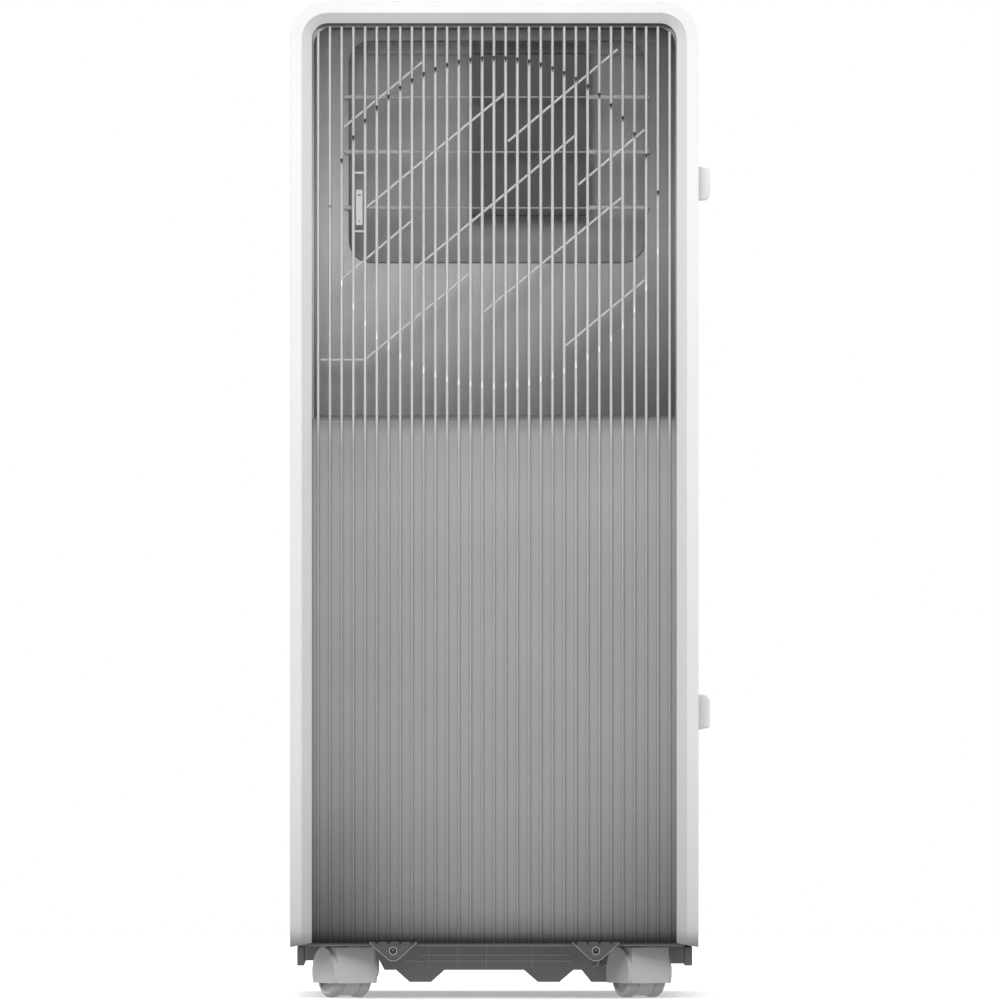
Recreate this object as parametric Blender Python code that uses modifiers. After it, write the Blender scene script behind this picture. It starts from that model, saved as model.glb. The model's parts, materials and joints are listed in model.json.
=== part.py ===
"""Portable room air conditioner on twin-wheel casters, as an assembly of separate pieces.

Metres, +Z up. The front faces -Y, the back +Y, and the ribbed side panels +X and -X. The origin is on the
floor, under the middle of the assembly's box.
"""
import math

import bmesh
import bpy
from mathutils import Matrix, Vector

# ---------------------------------------------------------------- driving dimensions
WIDTH = 0.420
HEIGHT = 0.798
FRONT_Y = -0.168
BACK_Y = 0.1588
CASE_BOTTOM = 0.0412
CORNER_R = 0.0304
WALL = 0.003
GAP = 0.0003

HALF = WIDTH / 2
RIM_FACE = 0.0092
RIM_BEVEL = 0.0082
RIM_DEPTH = 0.010
RIM_WIDTH = RIM_FACE + RIM_BEVEL
RIM_THICK = 0.0027
CORNER_STEPS = 8

PANEL_OUTER = HALF - RIM_DEPTH
PANEL_VALLEY = PANEL_OUTER - 0.006
PANEL_BACK = PANEL_VALLEY - 0.006
PANEL_BOTTOM = 0.0446
BAR_COUNT = 31
BAR_PITCH = 0.009376
BAR_MIDDLE_Y = -0.00486
BAR_TIP = 0.0015
BAR_DRAFT = 0.15
BAR_TOP = 0.7782
OUTER_BAR_TOP = 0.7742
GRILLE_BOTTOM = 0.455
GRILLE_TOP = 0.777
GRILLE_MARGIN = 0.0189
GRILLE_R = 0.013
DISH_CENTRE = (-0.004, 0.621)
DISH_RADIUS = 0.1328
DISH_DEPTH = 0.004
TAB_CENTRES_Y = (-0.0856, 0.0768)
TAB_SCREW_Z = 0.038
SENSOR_Z = (0.619, 0.6474)

BASE_HALF = 0.1865
BASE_FRONT = -0.162
BASE_BACK = 0.148
BASE_BOTTOM = 0.0416
BASE_TOP = 0.056
SUMP_HALF = 0.112
SUMP_FLOOR = 0.0214
FOOT_Z = 0.0117
SKIRT_Z = (0.0249, 0.040)

CASTER_X = 0.160
CASTER_FRONT_Y = -0.1192
CASTER_BACK_Y = 0.1168
CASTER_TRAIL = 0.012
CASTER_TURN = math.radians(26)
WHEEL_R = 0.018
HOOD_R = 0.0203
HOOD_HALF = 0.01935
HOOD_BOTTOM = 0.0117
STEM_R = 0.004
FORK_WEB = 0.0068
FORK_CHEEK = 0.0176
AXLE_R = 0.0028

OUTLET_HALF = 0.134
OUTLET_LOW = 0.6548
OUTLET_HIGH = 0.7362
OUTLET_BACK = -0.120
OUTLET_RIM = 0.006
LOUVRE_AXIS = (-0.1667, 0.658)
LOUVRE_HALF = 0.1295
LOUVRE_PIN_R = 0.0012
VANE_SPACING = 0.065
VANE_COUNT = 4
VANE_AXIS_Y = -0.142
VANE_PEG = 0.009
VANE_Z = (0.659, 0.734)
VANE_PIN_Z = (0.649, 0.741)
VANE_PIN_R = 0.0015
LINK_Z = (0.6553, 0.6578)

RECESS_Y = 0.1468
RECESS_HALF = 0.183
RECESS_LOW = 0.060
RECESS_HIGH = 0.750
EXHAUST = (0.060, 0.405)
EXHAUST_R = 0.066
DUCT_R = 0.0635
DUCT_BORE_R = 0.0608
HOOK_X = (0.149, 0.171)
HOOK_REACH = 0.168
DRAIN_UPPER = (-0.075, 0.458)
DRAIN_LOWER = (0.110, 0.078)
DRAIN_R = 0.009
GLAND = (-0.130, 0.410)
GLAND_R = 0.008
FILTER_HALF = 0.140
FILTER_MIDDLE = -0.010
FILTER_Z = (0.500, 0.745)

CONTROL_HALF = 0.088
CONTROL_Y = (-0.112, -0.058)
LENS_HALF = 0.025
LENS_Y = (-0.098, -0.072)
BUTTON_R = 0.0054
BUTTON_Y = -0.085

CHAMBER_X = 0.160
CHAMBER_FLOOR = 0.440
WINDOW_Y = (-0.1208, 0.116)
WINDOW_Z = (0.5892, 0.7668)
WINDOW_R = 0.0176
RAILS_Z = (0.722, 0.678, 0.6332)

HOUSING_HALF = 0.128
HOUSING_Y = (-0.119, 0.125)
HOUSING_Z = (0.484, 0.775)
COIL_Y = (0.086, 0.118)
UPPER_FAN = (0.0, 0.590)
LOWER_FAN = (0.065, 0.240)
LOWER_HOUSING = ((-0.028, -0.100, 0.150), (0.158, 0.078, 0.4705))
PAN_Z = (0.474, 0.482)
COMPRESSOR = (-0.095, -0.030)
COMPRESSOR_R = 0.055
COMPRESSOR_Z = (0.058, 0.298)
PIPE_END = (-0.110, 0.102)


# ---------------------------------------------------------------- scene and materials
def clear_scene():
    for obj in list(bpy.data.objects):
        bpy.data.objects.remove(obj)


def new_collection(name):
    group = bpy.data.collections.new(name)
    bpy.context.scene.collection.children.link(group)
    return group


def new_material(name, colour, roughness, metallic=0.0):
    material = bpy.data.materials.new(name)
    material.use_nodes = True
    shader = material.node_tree.nodes["Principled BSDF"]
    shader.inputs["Base Color"].default_value = (*colour, 1.0)
    shader.inputs["Roughness"].default_value = roughness
    shader.inputs["Metallic"].default_value = metallic
    return material


clear_scene()
PARTS = new_collection("portable_air_conditioner")
CUTTERS = new_collection("cutters")

FINISHES = {
    "white": ((0.86, 0.86, 0.86), 0.45, 0.0),
    "panel": ((0.36, 0.36, 0.365), 0.50, 0.0),
    "dark": ((0.06, 0.06, 0.062), 0.55, 0.0),
    "skirt": ((0.16, 0.16, 0.165), 0.50, 0.0),
    "caster": ((0.42, 0.42, 0.42), 0.45, 0.0),
    "tread": ((0.30, 0.30, 0.30), 0.60, 0.0),
    "chamber": ((0.30, 0.30, 0.305), 0.60, 0.0),
    "lens": ((0.02, 0.02, 0.025), 0.08, 0.0),
    "steel": ((0.55, 0.55, 0.56), 0.30, 1.0),
    "fins": ((0.70, 0.71, 0.72), 0.40, 1.0),
    "copper": ((0.72, 0.36, 0.20), 0.28, 1.0),
    "rubber": ((0.05, 0.05, 0.05), 0.80, 0.0),
    "filter": ((0.12, 0.16, 0.22), 0.85, 0.0),
    "shell": ((0.03, 0.03, 0.032), 0.50, 0.0),
}


def part_material(name, finish):
    colour, roughness, metallic = FINISHES[finish]
    return new_material(name, colour, roughness, metallic)


# ---------------------------------------------------------------- shape helpers
def add_mesh(name, mesh, finish=None, parent=None):
    """Puts a mesh in the scene: as a part with its own material, or as a cutter where no finish is given."""
    obj = bpy.data.objects.new(name, mesh)
    if finish is None:
        CUTTERS.objects.link(obj)
        obj.hide_render = True
        obj.display_type = "WIRE"
    else:
        PARTS.objects.link(obj)
        if not mesh.materials:
            mesh.materials.append(part_material(name, finish))
    obj.parent = parent
    return obj


def finish_mesh(name, bm, origin=(0, 0, 0)):
    bmesh.ops.recalc_face_normals(bm, faces=bm.faces)
    mesh = bpy.data.meshes.new(name)
    bm.to_mesh(mesh)
    bm.free()
    mesh.transform(Matrix.Translation(-Vector(origin)))
    return mesh


def box_mesh(bm, low, high):
    made = bmesh.ops.create_cube(bm, size=1.0)["verts"]
    low, high = Vector(low), Vector(high)
    bmesh.ops.scale(bm, vec=high - low, verts=made)
    bmesh.ops.translate(bm, vec=(low + high) / 2, verts=made)
    return made


def box(name, low, high, finish=None, origin=(0, 0, 0), parent=None):
    bm = bmesh.new()
    box_mesh(bm, low, high)
    obj = add_mesh(name, finish_mesh(name, bm, origin), finish, parent)
    obj.location = origin
    return obj


def boxes(name, corners):
    """Several separate boxes in one cutter."""
    bm = bmesh.new()
    for low, high in corners:
        box_mesh(bm, low, high)
    return add_mesh(name, finish_mesh(name, bm))


def rod(name, start, end, radius, finish=None, segments=24, parent=None):
    start, end = Vector(start), Vector(end)
    bm = bmesh.new()
    bmesh.ops.create_cone(bm, cap_ends=True, segments=segments, radius1=radius, radius2=radius,
                          depth=(end - start).length)
    turn = Vector((0, 0, 1)).rotation_difference(end - start).to_matrix().to_4x4()
    bm.transform(Matrix.Translation((start + end) / 2) @ turn)
    return add_mesh(name, finish_mesh(name, bm), finish, parent)


PLANES = {
    "X": Matrix(((0, 0, 1, 0), (1, 0, 0, 0), (0, 1, 0, 0), (0, 0, 0, 1))),
    "Y": Matrix(((1, 0, 0, 0), (0, 0, -1, 0), (0, 1, 0, 0), (0, 0, 0, 1))),
    "Z": Matrix.Identity(4),
}


def flat_outline(name, loops, axis, low, high, finish=None, origin=(0, 0, 0)):
    """An outline and its holes in the plane across an axis, filled and extruded from low to high."""
    curve = bpy.data.curves.new(name, "CURVE")
    curve.dimensions = "2D"
    curve.fill_mode = "BOTH"
    curve.extrude = (high - low) / 2
    for loop in loops:
        spline = curve.splines.new("POLY")
        spline.points.add(len(loop) - 1)
        for point, (u, v) in zip(spline.points, loop):
            point.co = (u, v, 0, 1)
        spline.use_cyclic_u = True
    guide = bpy.data.objects.new(name + "_outline", curve)
    CUTTERS.objects.link(guide)
    evaluated = guide.evaluated_get(bpy.context.evaluated_depsgraph_get())
    mesh = bpy.data.meshes.new_from_object(evaluated)
    bpy.data.objects.remove(guide)
    bm = bmesh.new()
    bm.from_mesh(mesh)
    bpy.data.meshes.remove(mesh)
    bmesh.ops.remove_doubles(bm, verts=bm.verts, dist=0.00001)
    shift = Vector([(low + high) / 2 if letter == axis else 0 for letter in "XYZ"])
    bm.transform(Matrix.Translation(shift) @ PLANES[axis])
    obj = add_mesh(name, finish_mesh(name, bm, origin), finish)
    obj.location = origin
    return obj


def turned(name, profile, centre, axis, finish=None, steps=32, closed=False, parent=None):
    """A (radius, height) profile, listed down its outer side, turned about an axis through centre."""
    mesh = bpy.data.meshes.new(name)
    count = len(profile)
    edges = [(i, (i + 1) % count) for i in range(count if closed else count - 1)]
    mesh.from_pydata([(radius, 0, height) for radius, height in profile], edges, [])
    obj = add_mesh(name, mesh, finish, parent)
    obj.location = centre
    obj.rotation_euler = Vector((0, 0, 1)).rotation_difference(Vector(axis)).to_euler()
    screw = obj.modifiers.new("turn", "SCREW")
    screw.steps = steps
    screw.render_steps = steps
    screw.use_merge_vertices = True
    screw.merge_threshold = 0.00001
    screw.use_smooth_shade = False
    return obj


def combine(target, tool, operation="DIFFERENCE"):
    """Cuts a tool object, or a collection of them, out of the target, or joins it on."""
    modifier = target.modifiers.new(operation.lower(), "BOOLEAN")
    modifier.operation = operation
    modifier.solver = "EXACT"
    if isinstance(tool, bpy.types.Collection):
        modifier.operand_type = "COLLECTION"
        modifier.collection = tool
    else:
        modifier.object = tool
    return target


def bake(obj):
    """Turns an object's modifiers into its own mesh, so that copies can share or mirror it."""
    evaluated = obj.evaluated_get(bpy.context.evaluated_depsgraph_get())
    mesh = bpy.data.meshes.new_from_object(evaluated)
    obj.modifiers.clear()
    obj.data = mesh
    return mesh


def smooth(obj, angle=35):
    obj.data.shade_smooth()
    obj.data.set_sharp_from_angle(angle=math.radians(angle))
    return obj


def arc(centre, radius, start, end, steps):
    """Points along an arc, with its angles in degrees."""
    points = []
    for i in range(steps + 1):
        angle = math.radians(start + (end - start) * i / steps)
        points.append((centre[0] + radius * math.cos(angle), centre[1] + radius * math.sin(angle)))
    return points


def rounded_rectangle(low, high, radius, steps=5):
    (u0, v0), (u1, v1) = low, high
    return (arc((u1 - radius, v0 + radius), radius, -90, 0, steps)
            + arc((u1 - radius, v1 - radius), radius, 0, 90, steps)
            + arc((u0 + radius, v1 - radius), radius, 90, 180, steps)
            + arc((u0 + radius, v0 + radius), radius, 180, 270, steps))


def rectangle(low, high):
    return [low, (high[0], low[1]), high, (low[0], high[1])]


# ---------------------------------------------------------------- casing band
def rim_section():
    """The band's C-shaped section as (depth under the outer surface, X), round its closed edge."""
    right = [(0, HALF), (RIM_FACE, HALF), (RIM_WIDTH, PANEL_OUTER), (RIM_WIDTH, PANEL_OUTER - RIM_THICK),
             (RIM_FACE, HALF - RIM_THICK), (WALL, HALF - RIM_THICK)]
    return right + [(depth, -x) for depth, x in reversed(right)]


def upright_cover(name, outer_y, inward):
    """A front or rear cover: a straight upright of the band, then a quarter turn on to the top."""
    bottom_slope = 0.0032 / RIM_WIDTH
    bm = bmesh.new()
    verts = []
    for depth, x in rim_section():
        verts.append(bm.verts.new((x, outer_y + inward * depth, CASE_BOTTOM + depth * bottom_slope)))
    region = [bm.faces.new(verts)]
    moved = bmesh.ops.extrude_face_region(bm, geom=region)["geom"]
    for vert in [item for item in moved if isinstance(item, bmesh.types.BMVert)]:
        vert.co.z = HEIGHT - CORNER_R
    region = [item for item in moved if isinstance(item, bmesh.types.BMFace)]
    corner_z = HEIGHT - CORNER_R
    bmesh.ops.spin(bm, geom=region, cent=(0, outer_y + inward * CORNER_R, corner_z), axis=(1, 0, 0),
                   angle=-inward * math.radians(90), steps=CORNER_STEPS, use_duplicate=False)
    inner = [face for face in bm.faces if all(abs(vert.co.z - corner_z) < 1e-6 for vert in face.verts)]
    bmesh.ops.delete(bm, geom=inner, context="FACES_ONLY")
    return add_mesh(name, finish_mesh(name, bm), "white")


def make_front_cover():
    cover = upright_cover("front_cover", FRONT_Y, 1)
    opening = box("outlet_cut", (-OUTLET_HALF, FRONT_Y - 0.01, OUTLET_LOW),
                  (OUTLET_HALF, FRONT_Y + 0.01, OUTLET_HIGH))
    return combine(cover, opening)


def make_top_cover():
    front = FRONT_Y + CORNER_R + GAP
    back = BACK_Y - CORNER_R - GAP
    bm = bmesh.new()
    face = bm.faces.new([bm.verts.new((x, front, HEIGHT - depth)) for depth, x in rim_section()])
    moved = bmesh.ops.extrude_face_region(bm, geom=[face])["geom"]
    verts = [item for item in moved if isinstance(item, bmesh.types.BMVert)]
    bmesh.ops.translate(bm, vec=(0, back - front, 0), verts=verts)
    cover = add_mesh("top_cover", finish_mesh("top_cover", bm), "white")
    margin = 0.0004
    pocket = box("control_cut", (-CONTROL_HALF - margin, CONTROL_Y[0] - margin, HEIGHT - 0.01),
                 (CONTROL_HALF + margin, CONTROL_Y[1] + margin, HEIGHT + 0.01))
    return combine(cover, pocket)


def make_rear_cover():
    """The rear upright with a recessed back panel, in which everything on the back is set."""
    cover = upright_cover("rear_cover", BACK_Y, -1)
    pan = box("recess_pan", (-RECESS_HALF - WALL, RECESS_Y - WALL, RECESS_LOW - WALL),
              (RECESS_HALF + WALL, BACK_Y - 0.0013, RECESS_HIGH + WALL))
    hollow = box("recess_hollow", (-RECESS_HALF, RECESS_Y, RECESS_LOW),
                 (RECESS_HALF, BACK_Y + 0.02, RECESS_HIGH))
    combine(cover, pan, "UNION")
    combine(cover, hollow)
    near, far = RECESS_Y - 0.02, RECESS_Y + 0.02
    edge = 0.005
    cuts = [((FILTER_MIDDLE - FILTER_HALF + edge, near, FILTER_Z[0] + edge),
             (FILTER_MIDDLE + FILTER_HALF - edge, far, FILTER_Z[1] - edge))]
    rows, lowest, pitch, height, length, middle, web = 13, 0.096, 0.017, 0.008, 0.096, -0.050, 0.004
    for row in range(rows):
        low = lowest + row * pitch
        for left in (middle - web - length, middle + web):
            cuts.append(((left, near, low), (left + length, far, low + height)))
    combine(cover, boxes("back_cuts", cuts))
    for name, (x, z), radius, segments in (("exhaust_cut", EXHAUST, EXHAUST_R, 32),
                                           ("gland_cut", GLAND, GLAND_R + GAP, 12),
                                           ("drain_upper_cut", DRAIN_UPPER, DRAIN_R, 12),
                                           ("drain_lower_cut", DRAIN_LOWER, DRAIN_R, 12)):
        combine(cover, rod(name, (x, near, z), (x, far, z), radius, segments=segments))
    return cover


# ---------------------------------------------------------------- side panels
def bar_y(index):
    return BAR_MIDDLE_Y + (index - (BAR_COUNT - 1) / 2) * BAR_PITCH


def bar_half(x):
    """Half the bar's width at a distance x from the middle of the machine: it widens inwards."""
    return (BAR_TIP + (PANEL_OUTER - x) * BAR_DRAFT) / 2


def tab(centre_y):
    """A V-shaped screw tab under the panel's bottom edge, with a round apex."""
    reach, apex = 0.019, 0.008
    run, rise = reach, PANEL_BOTTOM - TAB_SCREW_Z
    tangent = math.degrees(math.atan2(rise, run) - math.acos(apex / math.hypot(run, rise)))
    return ([(centre_y - reach, PANEL_BOTTOM)]
            + arc((centre_y, TAB_SCREW_Z), apex, -180 - tangent, tangent, 6)
            + [(centre_y + reach, PANEL_BOTTOM)])


def panel_outline():
    depth = 0.006
    radius = CORNER_R - depth
    front, back, top = FRONT_Y + depth, BACK_Y - depth, HEIGHT - depth
    points = [(front, PANEL_BOTTOM)]
    for centre in TAB_CENTRES_Y:
        points += tab(centre)
    points.append((back, PANEL_BOTTOM))
    points += arc((back - radius, top - radius), radius, 0, 90, 6)
    points += arc((front + radius, top - radius), radius, 90, 180, 6)
    return points


def make_side_panel_right():
    low, high = (FRONT_Y + GRILLE_MARGIN, GRILLE_BOTTOM), (BACK_Y - GRILLE_MARGIN, GRILLE_TOP)
    loops = [panel_outline(), rounded_rectangle(low, high, GRILLE_R)]
    panel = flat_outline("side_panel_right", loops, "X", PANEL_BACK, PANEL_VALLEY, "panel")
    bars = new_collection("panel_bars")
    foot = PANEL_BACK + 0.001
    for index in range(BAR_COUNT):
        top = OUTER_BAR_TOP if index in (0, BAR_COUNT - 1) else BAR_TOP
        y = bar_y(index)
        section = [(PANEL_OUTER, y - bar_half(PANEL_OUTER)), (PANEL_OUTER, y + bar_half(PANEL_OUTER)),
                   (foot, y + bar_half(foot)), (foot, y - bar_half(foot))]
        bar = flat_outline("bar_%02d" % index, [section], "Z", PANEL_BOTTOM + 0.0004, top)
        bars.objects.link(bar)
    combine(panel, bars, "UNION")
    dish = rod("dish_cut", (PANEL_OUTER - DISH_DEPTH, *DISH_CENTRE), (PANEL_OUTER + 0.01, *DISH_CENTRE),
               DISH_RADIUS, segments=48)
    combine(panel, dish)
    for number, y in enumerate(TAB_CENTRES_Y):
        hole = rod("tab_hole_%d" % number, (PANEL_BACK - 0.01, y, TAB_SCREW_Z),
                   (PANEL_OUTER + 0.01, y, TAB_SCREW_Z), 0.0019, segments=12)
        combine(panel, hole)
    bake(panel)
    return panel


def make_side_panel_left(right):
    bm = bmesh.new()
    bm.from_mesh(right.data)
    bm.transform(Matrix.Diagonal((-1, 1, 1, 1)))
    bmesh.ops.reverse_faces(bm, faces=bm.faces)
    return add_mesh("side_panel_left", finish_mesh("side_panel_left", bm), "panel")


def make_side_screws():
    head_r, crown_r, head, shank_r, length = 0.0030, 0.0022, 0.0018, 0.0014, 0.012
    profile = [(0, head), (crown_r, head), (head_r, 0), (shank_r, 0), (shank_r, -length), (0, -length)]
    seat = PANEL_VALLEY + GAP
    for side, side_name in ((1, "right"), (-1, "left")):
        for y, end_name in zip(TAB_CENTRES_Y, ("front", "rear")):
            centre = (side * seat, y, TAB_SCREW_Z)
            turned("screw_%s_%s" % (side_name, end_name), profile, centre, (side, 0, 0), "steel", steps=12)


def make_room_sensor():
    """A small sensor housing held between two bars of the right panel."""
    left = bar_y(3) + bar_half(PANEL_BACK) + GAP
    right = bar_y(4) - bar_half(PANEL_BACK) - GAP
    return box("room_sensor", (PANEL_BACK + 0.003, left, SENSOR_Z[0]),
               (PANEL_OUTER - DISH_DEPTH, right, SENSOR_Z[1]), "caster")


# ---------------------------------------------------------------- base
def foot_points(middle, floor_half, foot_half):
    """One moulded foot under the sump, from the front to the back, as (Y, Z)."""
    return [(middle - floor_half, SUMP_FLOOR), (middle - foot_half, FOOT_Z), (middle + foot_half, FOOT_Z),
            (middle + floor_half, SUMP_FLOOR)]


def sump_outline():
    """The sump and its three feet from the side, between a block at the front and one at the back."""
    top = BASE_BOTTOM + 0.002
    shoulder, shoulder_top = 0.0348, 0.0395
    front_block, back_block = 0.029, 0.0265
    points = [(-0.157, front_block), (-0.1434, front_block), (-0.1434, shoulder_top), (-0.100, shoulder_top),
              (-0.100, shoulder), (-0.0928, SUMP_FLOOR)]
    points += foot_points(-0.0640, 0.0195, 0.0086)
    points += foot_points(0.0391, 0.0199, 0.0086)
    points += foot_points(0.0807, 0.0152, 0.0074)
    points += [(0.1040, shoulder), (0.1040, shoulder_top), (0.1357, shoulder_top), (0.1357, back_block),
               (0.1477, back_block), (0.1477, top), (-0.157, top)]
    return points


def caster_places():
    return [(x, y) for x in (CASTER_X, -CASTER_X) for y in (CASTER_FRONT_Y, CASTER_BACK_Y)]


def make_base_tray():
    tray = box("base_tray", (-BASE_HALF, BASE_FRONT, BASE_BOTTOM), (BASE_HALF, BASE_BACK, BASE_TOP), "dark")
    joined = new_collection("base_joined")
    joined.objects.link(flat_outline("base_sump", [sump_outline()], "X", -SUMP_HALF, SUMP_HALF))
    boss_half, boss_low, boss_inner = 0.006, 0.0335, 0.181
    for side in (1, -1):
        for y in TAB_CENTRES_Y:
            low, high = sorted((side * boss_inner, side * (PANEL_BACK - GAP)))
            joined.objects.link(box("screw_boss", (low, y - boss_half, boss_low),
                                    (high, y + boss_half, BASE_BOTTOM + 0.002)))
    combine(tray, joined, "UNION")
    rim, floor_thick, sump_wall = 0.008, 0.0044, 0.004
    hollows = [((-BASE_HALF + rim, BASE_FRONT + rim, BASE_BOTTOM + floor_thick),
                (BASE_HALF - rim, BASE_BACK - rim, BASE_TOP + 0.01)),
               ((-SUMP_HALF + sump_wall, -0.088, SUMP_FLOOR + sump_wall),
                (SUMP_HALF - sump_wall, 0.092, BASE_TOP))]
    for number, (low, high) in enumerate(hollows):
        combine(tray, box("base_hollow_%d" % number, low, high))
    bosses = new_collection("stem_bosses")
    for x, y in caster_places():
        boss = rod("stem_boss", (x, y, BASE_BOTTOM + 0.001), (x, y, BASE_TOP - 0.001), 2 * STEM_R, segments=12)
        bosses.objects.link(boss)
    combine(tray, bosses, "UNION")
    for x, y in caster_places():
        combine(tray, rod("stem_hole", (x, y, BASE_BOTTOM - 0.01), (x, y, BASE_TOP + 0.01), STEM_R + 0.0004,
                          segments=12))
    for side in (1, -1):
        for y in TAB_CENTRES_Y:
            combine(tray, rod("boss_hole", (side * (boss_inner - 0.001), y, TAB_SCREW_Z),
                              (side * (PANEL_BACK + 0.002), y, TAB_SCREW_Z), 0.0018, segments=12))
    return tray


def make_skirts():
    box("front_skirt", (-SUMP_HALF, -0.163, SKIRT_Z[0]), (SUMP_HALF, -0.157 - GAP, SKIRT_Z[1]), "skirt")
    box("rear_skirt", (-SUMP_HALF, 0.1477 + GAP, SKIRT_Z[0]), (SUMP_HALF, 0.1545, SKIRT_Z[1]), "skirt")


# ---------------------------------------------------------------- casters
def make_fork_mesh():
    """The hooded fork round both wheels, with its axle and stem, in its own frame: the stem is the origin's
    Z axis, the axle runs along X and the wheels trail along -Y."""
    axle = (0, -CASTER_TRAIL, WHEEL_R)
    hood_centre = (0, -CASTER_TRAIL, HOOD_R)
    fork = rod("fork", (-HOOD_HALF, *hood_centre[1:]), (HOOD_HALF, *hood_centre[1:]), HOOD_R, segments=24)
    swivel = new_collection("fork_swivel")
    front_half = 0.0165
    swivel.objects.link(box("fork_front", (-front_half, -CASTER_TRAIL, 0.005),
                            (front_half, HOOD_R - CASTER_TRAIL, 2 * HOOD_R - 0.0002)))
    swivel.objects.link(rod("fork_collar", (0, 0, 0.0255), (0, 0, 0.0411), 0.0075, segments=12))
    swivel.objects.link(rod("fork_stem", (0, 0, 0.0305), (0, 0, BASE_TOP - 0.003), STEM_R, segments=12))
    combine(fork, swivel, "UNION")
    combine(fork, box("fork_trim", (-0.03, -0.06, -0.01), (0.03, 0.06, HOOD_BOTTOM)))
    for side in (1, -1):
        pocket = rod("fork_pocket", (side * FORK_WEB, *axle[1:]), (side * FORK_CHEEK, *axle[1:]),
                     WHEEL_R + 0.0005, segments=24)
        combine(fork, pocket)
    web = rod("fork_web", (-FORK_WEB, *axle[1:]), (FORK_WEB, *axle[1:]), WHEEL_R - 0.0015, segments=24)
    combine(fork, web, "UNION")
    reach = FORK_CHEEK + 0.0008
    combine(fork, rod("fork_axle", (-reach, *axle[1:]), (reach, *axle[1:]), AXLE_R, segments=10), "UNION")
    mesh = bake(fork)
    bpy.data.objects.remove(fork)
    return mesh


def make_casters():
    fork_mesh = make_fork_mesh()
    inner, outer = FORK_WEB + 2 * GAP, FORK_CHEEK - 2 * GAP
    half = (outer - inner) / 2
    chamfer = 0.0015
    bore = AXLE_R + GAP
    profile = [(WHEEL_R - chamfer, half), (WHEEL_R, half - chamfer), (WHEEL_R, -half), (bore, -half),
               (bore, half)]
    for x, x_name in ((CASTER_X, "right"), (-CASTER_X, "left")):
        for y, y_name in ((CASTER_FRONT_Y, "front"), (CASTER_BACK_Y, "rear")):
            name = "caster_%s_%s" % (y_name, x_name)
            pivot = bpy.data.objects.new(name + "_pivot", None)
            PARTS.objects.link(pivot)
            pivot.location = (x, y, 0)
            pivot.rotation_euler = (0, 0, CASTER_TURN - math.pi / 2)
            fork = fork_mesh.copy()
            fork.materials.clear()
            smooth(add_mesh(name + "_fork", fork, "caster", pivot))
            for side, side_name in ((1, "a"), (-1, "b")):
                centre = (side * (inner + outer) / 2, -CASTER_TRAIL, WHEEL_R)
                turned("%s_wheel_%s" % (name, side_name), profile, centre, (side, 0, 0), "tread", steps=18,
                       closed=True, parent=pivot)


# ---------------------------------------------------------------- front outlet
def make_outlet_frame():
    frame = box("outlet_frame", (-OUTLET_HALF - OUTLET_RIM, FRONT_Y + WALL + GAP, 0.640),
                (OUTLET_HALF + OUTLET_RIM, OUTLET_BACK, 0.746), "chamber")
    ears = new_collection("outlet_ears")
    for side in (1, -1):
        low, high = sorted((side * (LOUVRE_HALF + 0.0007), side * (OUTLET_HALF - 0.0004)))
        ears.objects.link(box("louvre_ear", (low, FRONT_Y + 0.0005, 0.6552), (high, -0.160, 0.661)))
    combine(frame, box("outlet_hollow", (-OUTLET_HALF + 0.0025, FRONT_Y - 0.01, 0.654),
                       (OUTLET_HALF - 0.0025, OUTLET_BACK + 0.01, 0.736)))
    combine(frame, ears, "UNION")
    reach = OUTLET_HALF - 0.0009
    bore = rod("louvre_bore", (-reach, *LOUVRE_AXIS), (reach, *LOUVRE_AXIS), LOUVRE_PIN_R + GAP, segments=10)
    combine(frame, bore)
    for number in range(VANE_COUNT):
        x = vane_x(number)
        low, high = VANE_PIN_Z
        combine(frame, rod("vane_bore", (x, VANE_AXIS_Y, low - 0.0005), (x, VANE_AXIS_Y, high + 0.0005),
                           VANE_PIN_R + GAP, segments=8))
    return frame


def make_outlet_louvre():
    origin = (0, *LOUVRE_AXIS)
    louvre = box("outlet_louvre", (-LOUVRE_HALF, FRONT_Y, OUTLET_LOW + 0.001),
                 (LOUVRE_HALF, FRONT_Y + 0.0026, OUTLET_HIGH - 0.0008), "white", origin)
    reach = OUTLET_HALF - 0.0012
    pin = rod("louvre_pin", (-reach, *LOUVRE_AXIS), (reach, *LOUVRE_AXIS), LOUVRE_PIN_R, segments=10)
    return combine(louvre, pin, "UNION")


def vane_x(number):
    return (number - (VANE_COUNT - 1) / 2) * VANE_SPACING


def make_vanes():
    low, high = VANE_Z
    for number in range(VANE_COUNT):
        x = vane_x(number)
        vane = box("vane_%d" % (number + 1), (x - 0.0008, VANE_AXIS_Y - 0.013, low),
                   (x + 0.0008, VANE_AXIS_Y + 0.011, high), "chamber", (x, VANE_AXIS_Y, 0.696))
        pin = rod("vane_pin", (x, VANE_AXIS_Y, VANE_PIN_Z[0]), (x, VANE_AXIS_Y, VANE_PIN_Z[1]), VANE_PIN_R,
                  segments=8)
        combine(vane, pin, "UNION")
        peg_y = VANE_AXIS_Y + VANE_PEG
        peg = rod("vane_peg", (x, peg_y, LINK_Z[0] - 0.0002), (x, peg_y, low + 0.002), 0.0012, segments=8)
        combine(vane, peg, "UNION")
    link = box("vane_link", (-0.110, VANE_AXIS_Y + 0.0045, LINK_Z[0]),
               (0.110, VANE_AXIS_Y + 0.0125, LINK_Z[1]), "chamber", (0, VANE_AXIS_Y + VANE_PEG, LINK_Z[0]))
    slots = []
    for number in range(VANE_COUNT):
        x = vane_x(number)
        slots.append(((x - 0.0018, VANE_AXIS_Y + 0.0055, 0.65), (x + 0.0018, VANE_AXIS_Y + 0.0107, 0.66)))
    combine(link, boxes("link_slots", slots))


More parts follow.
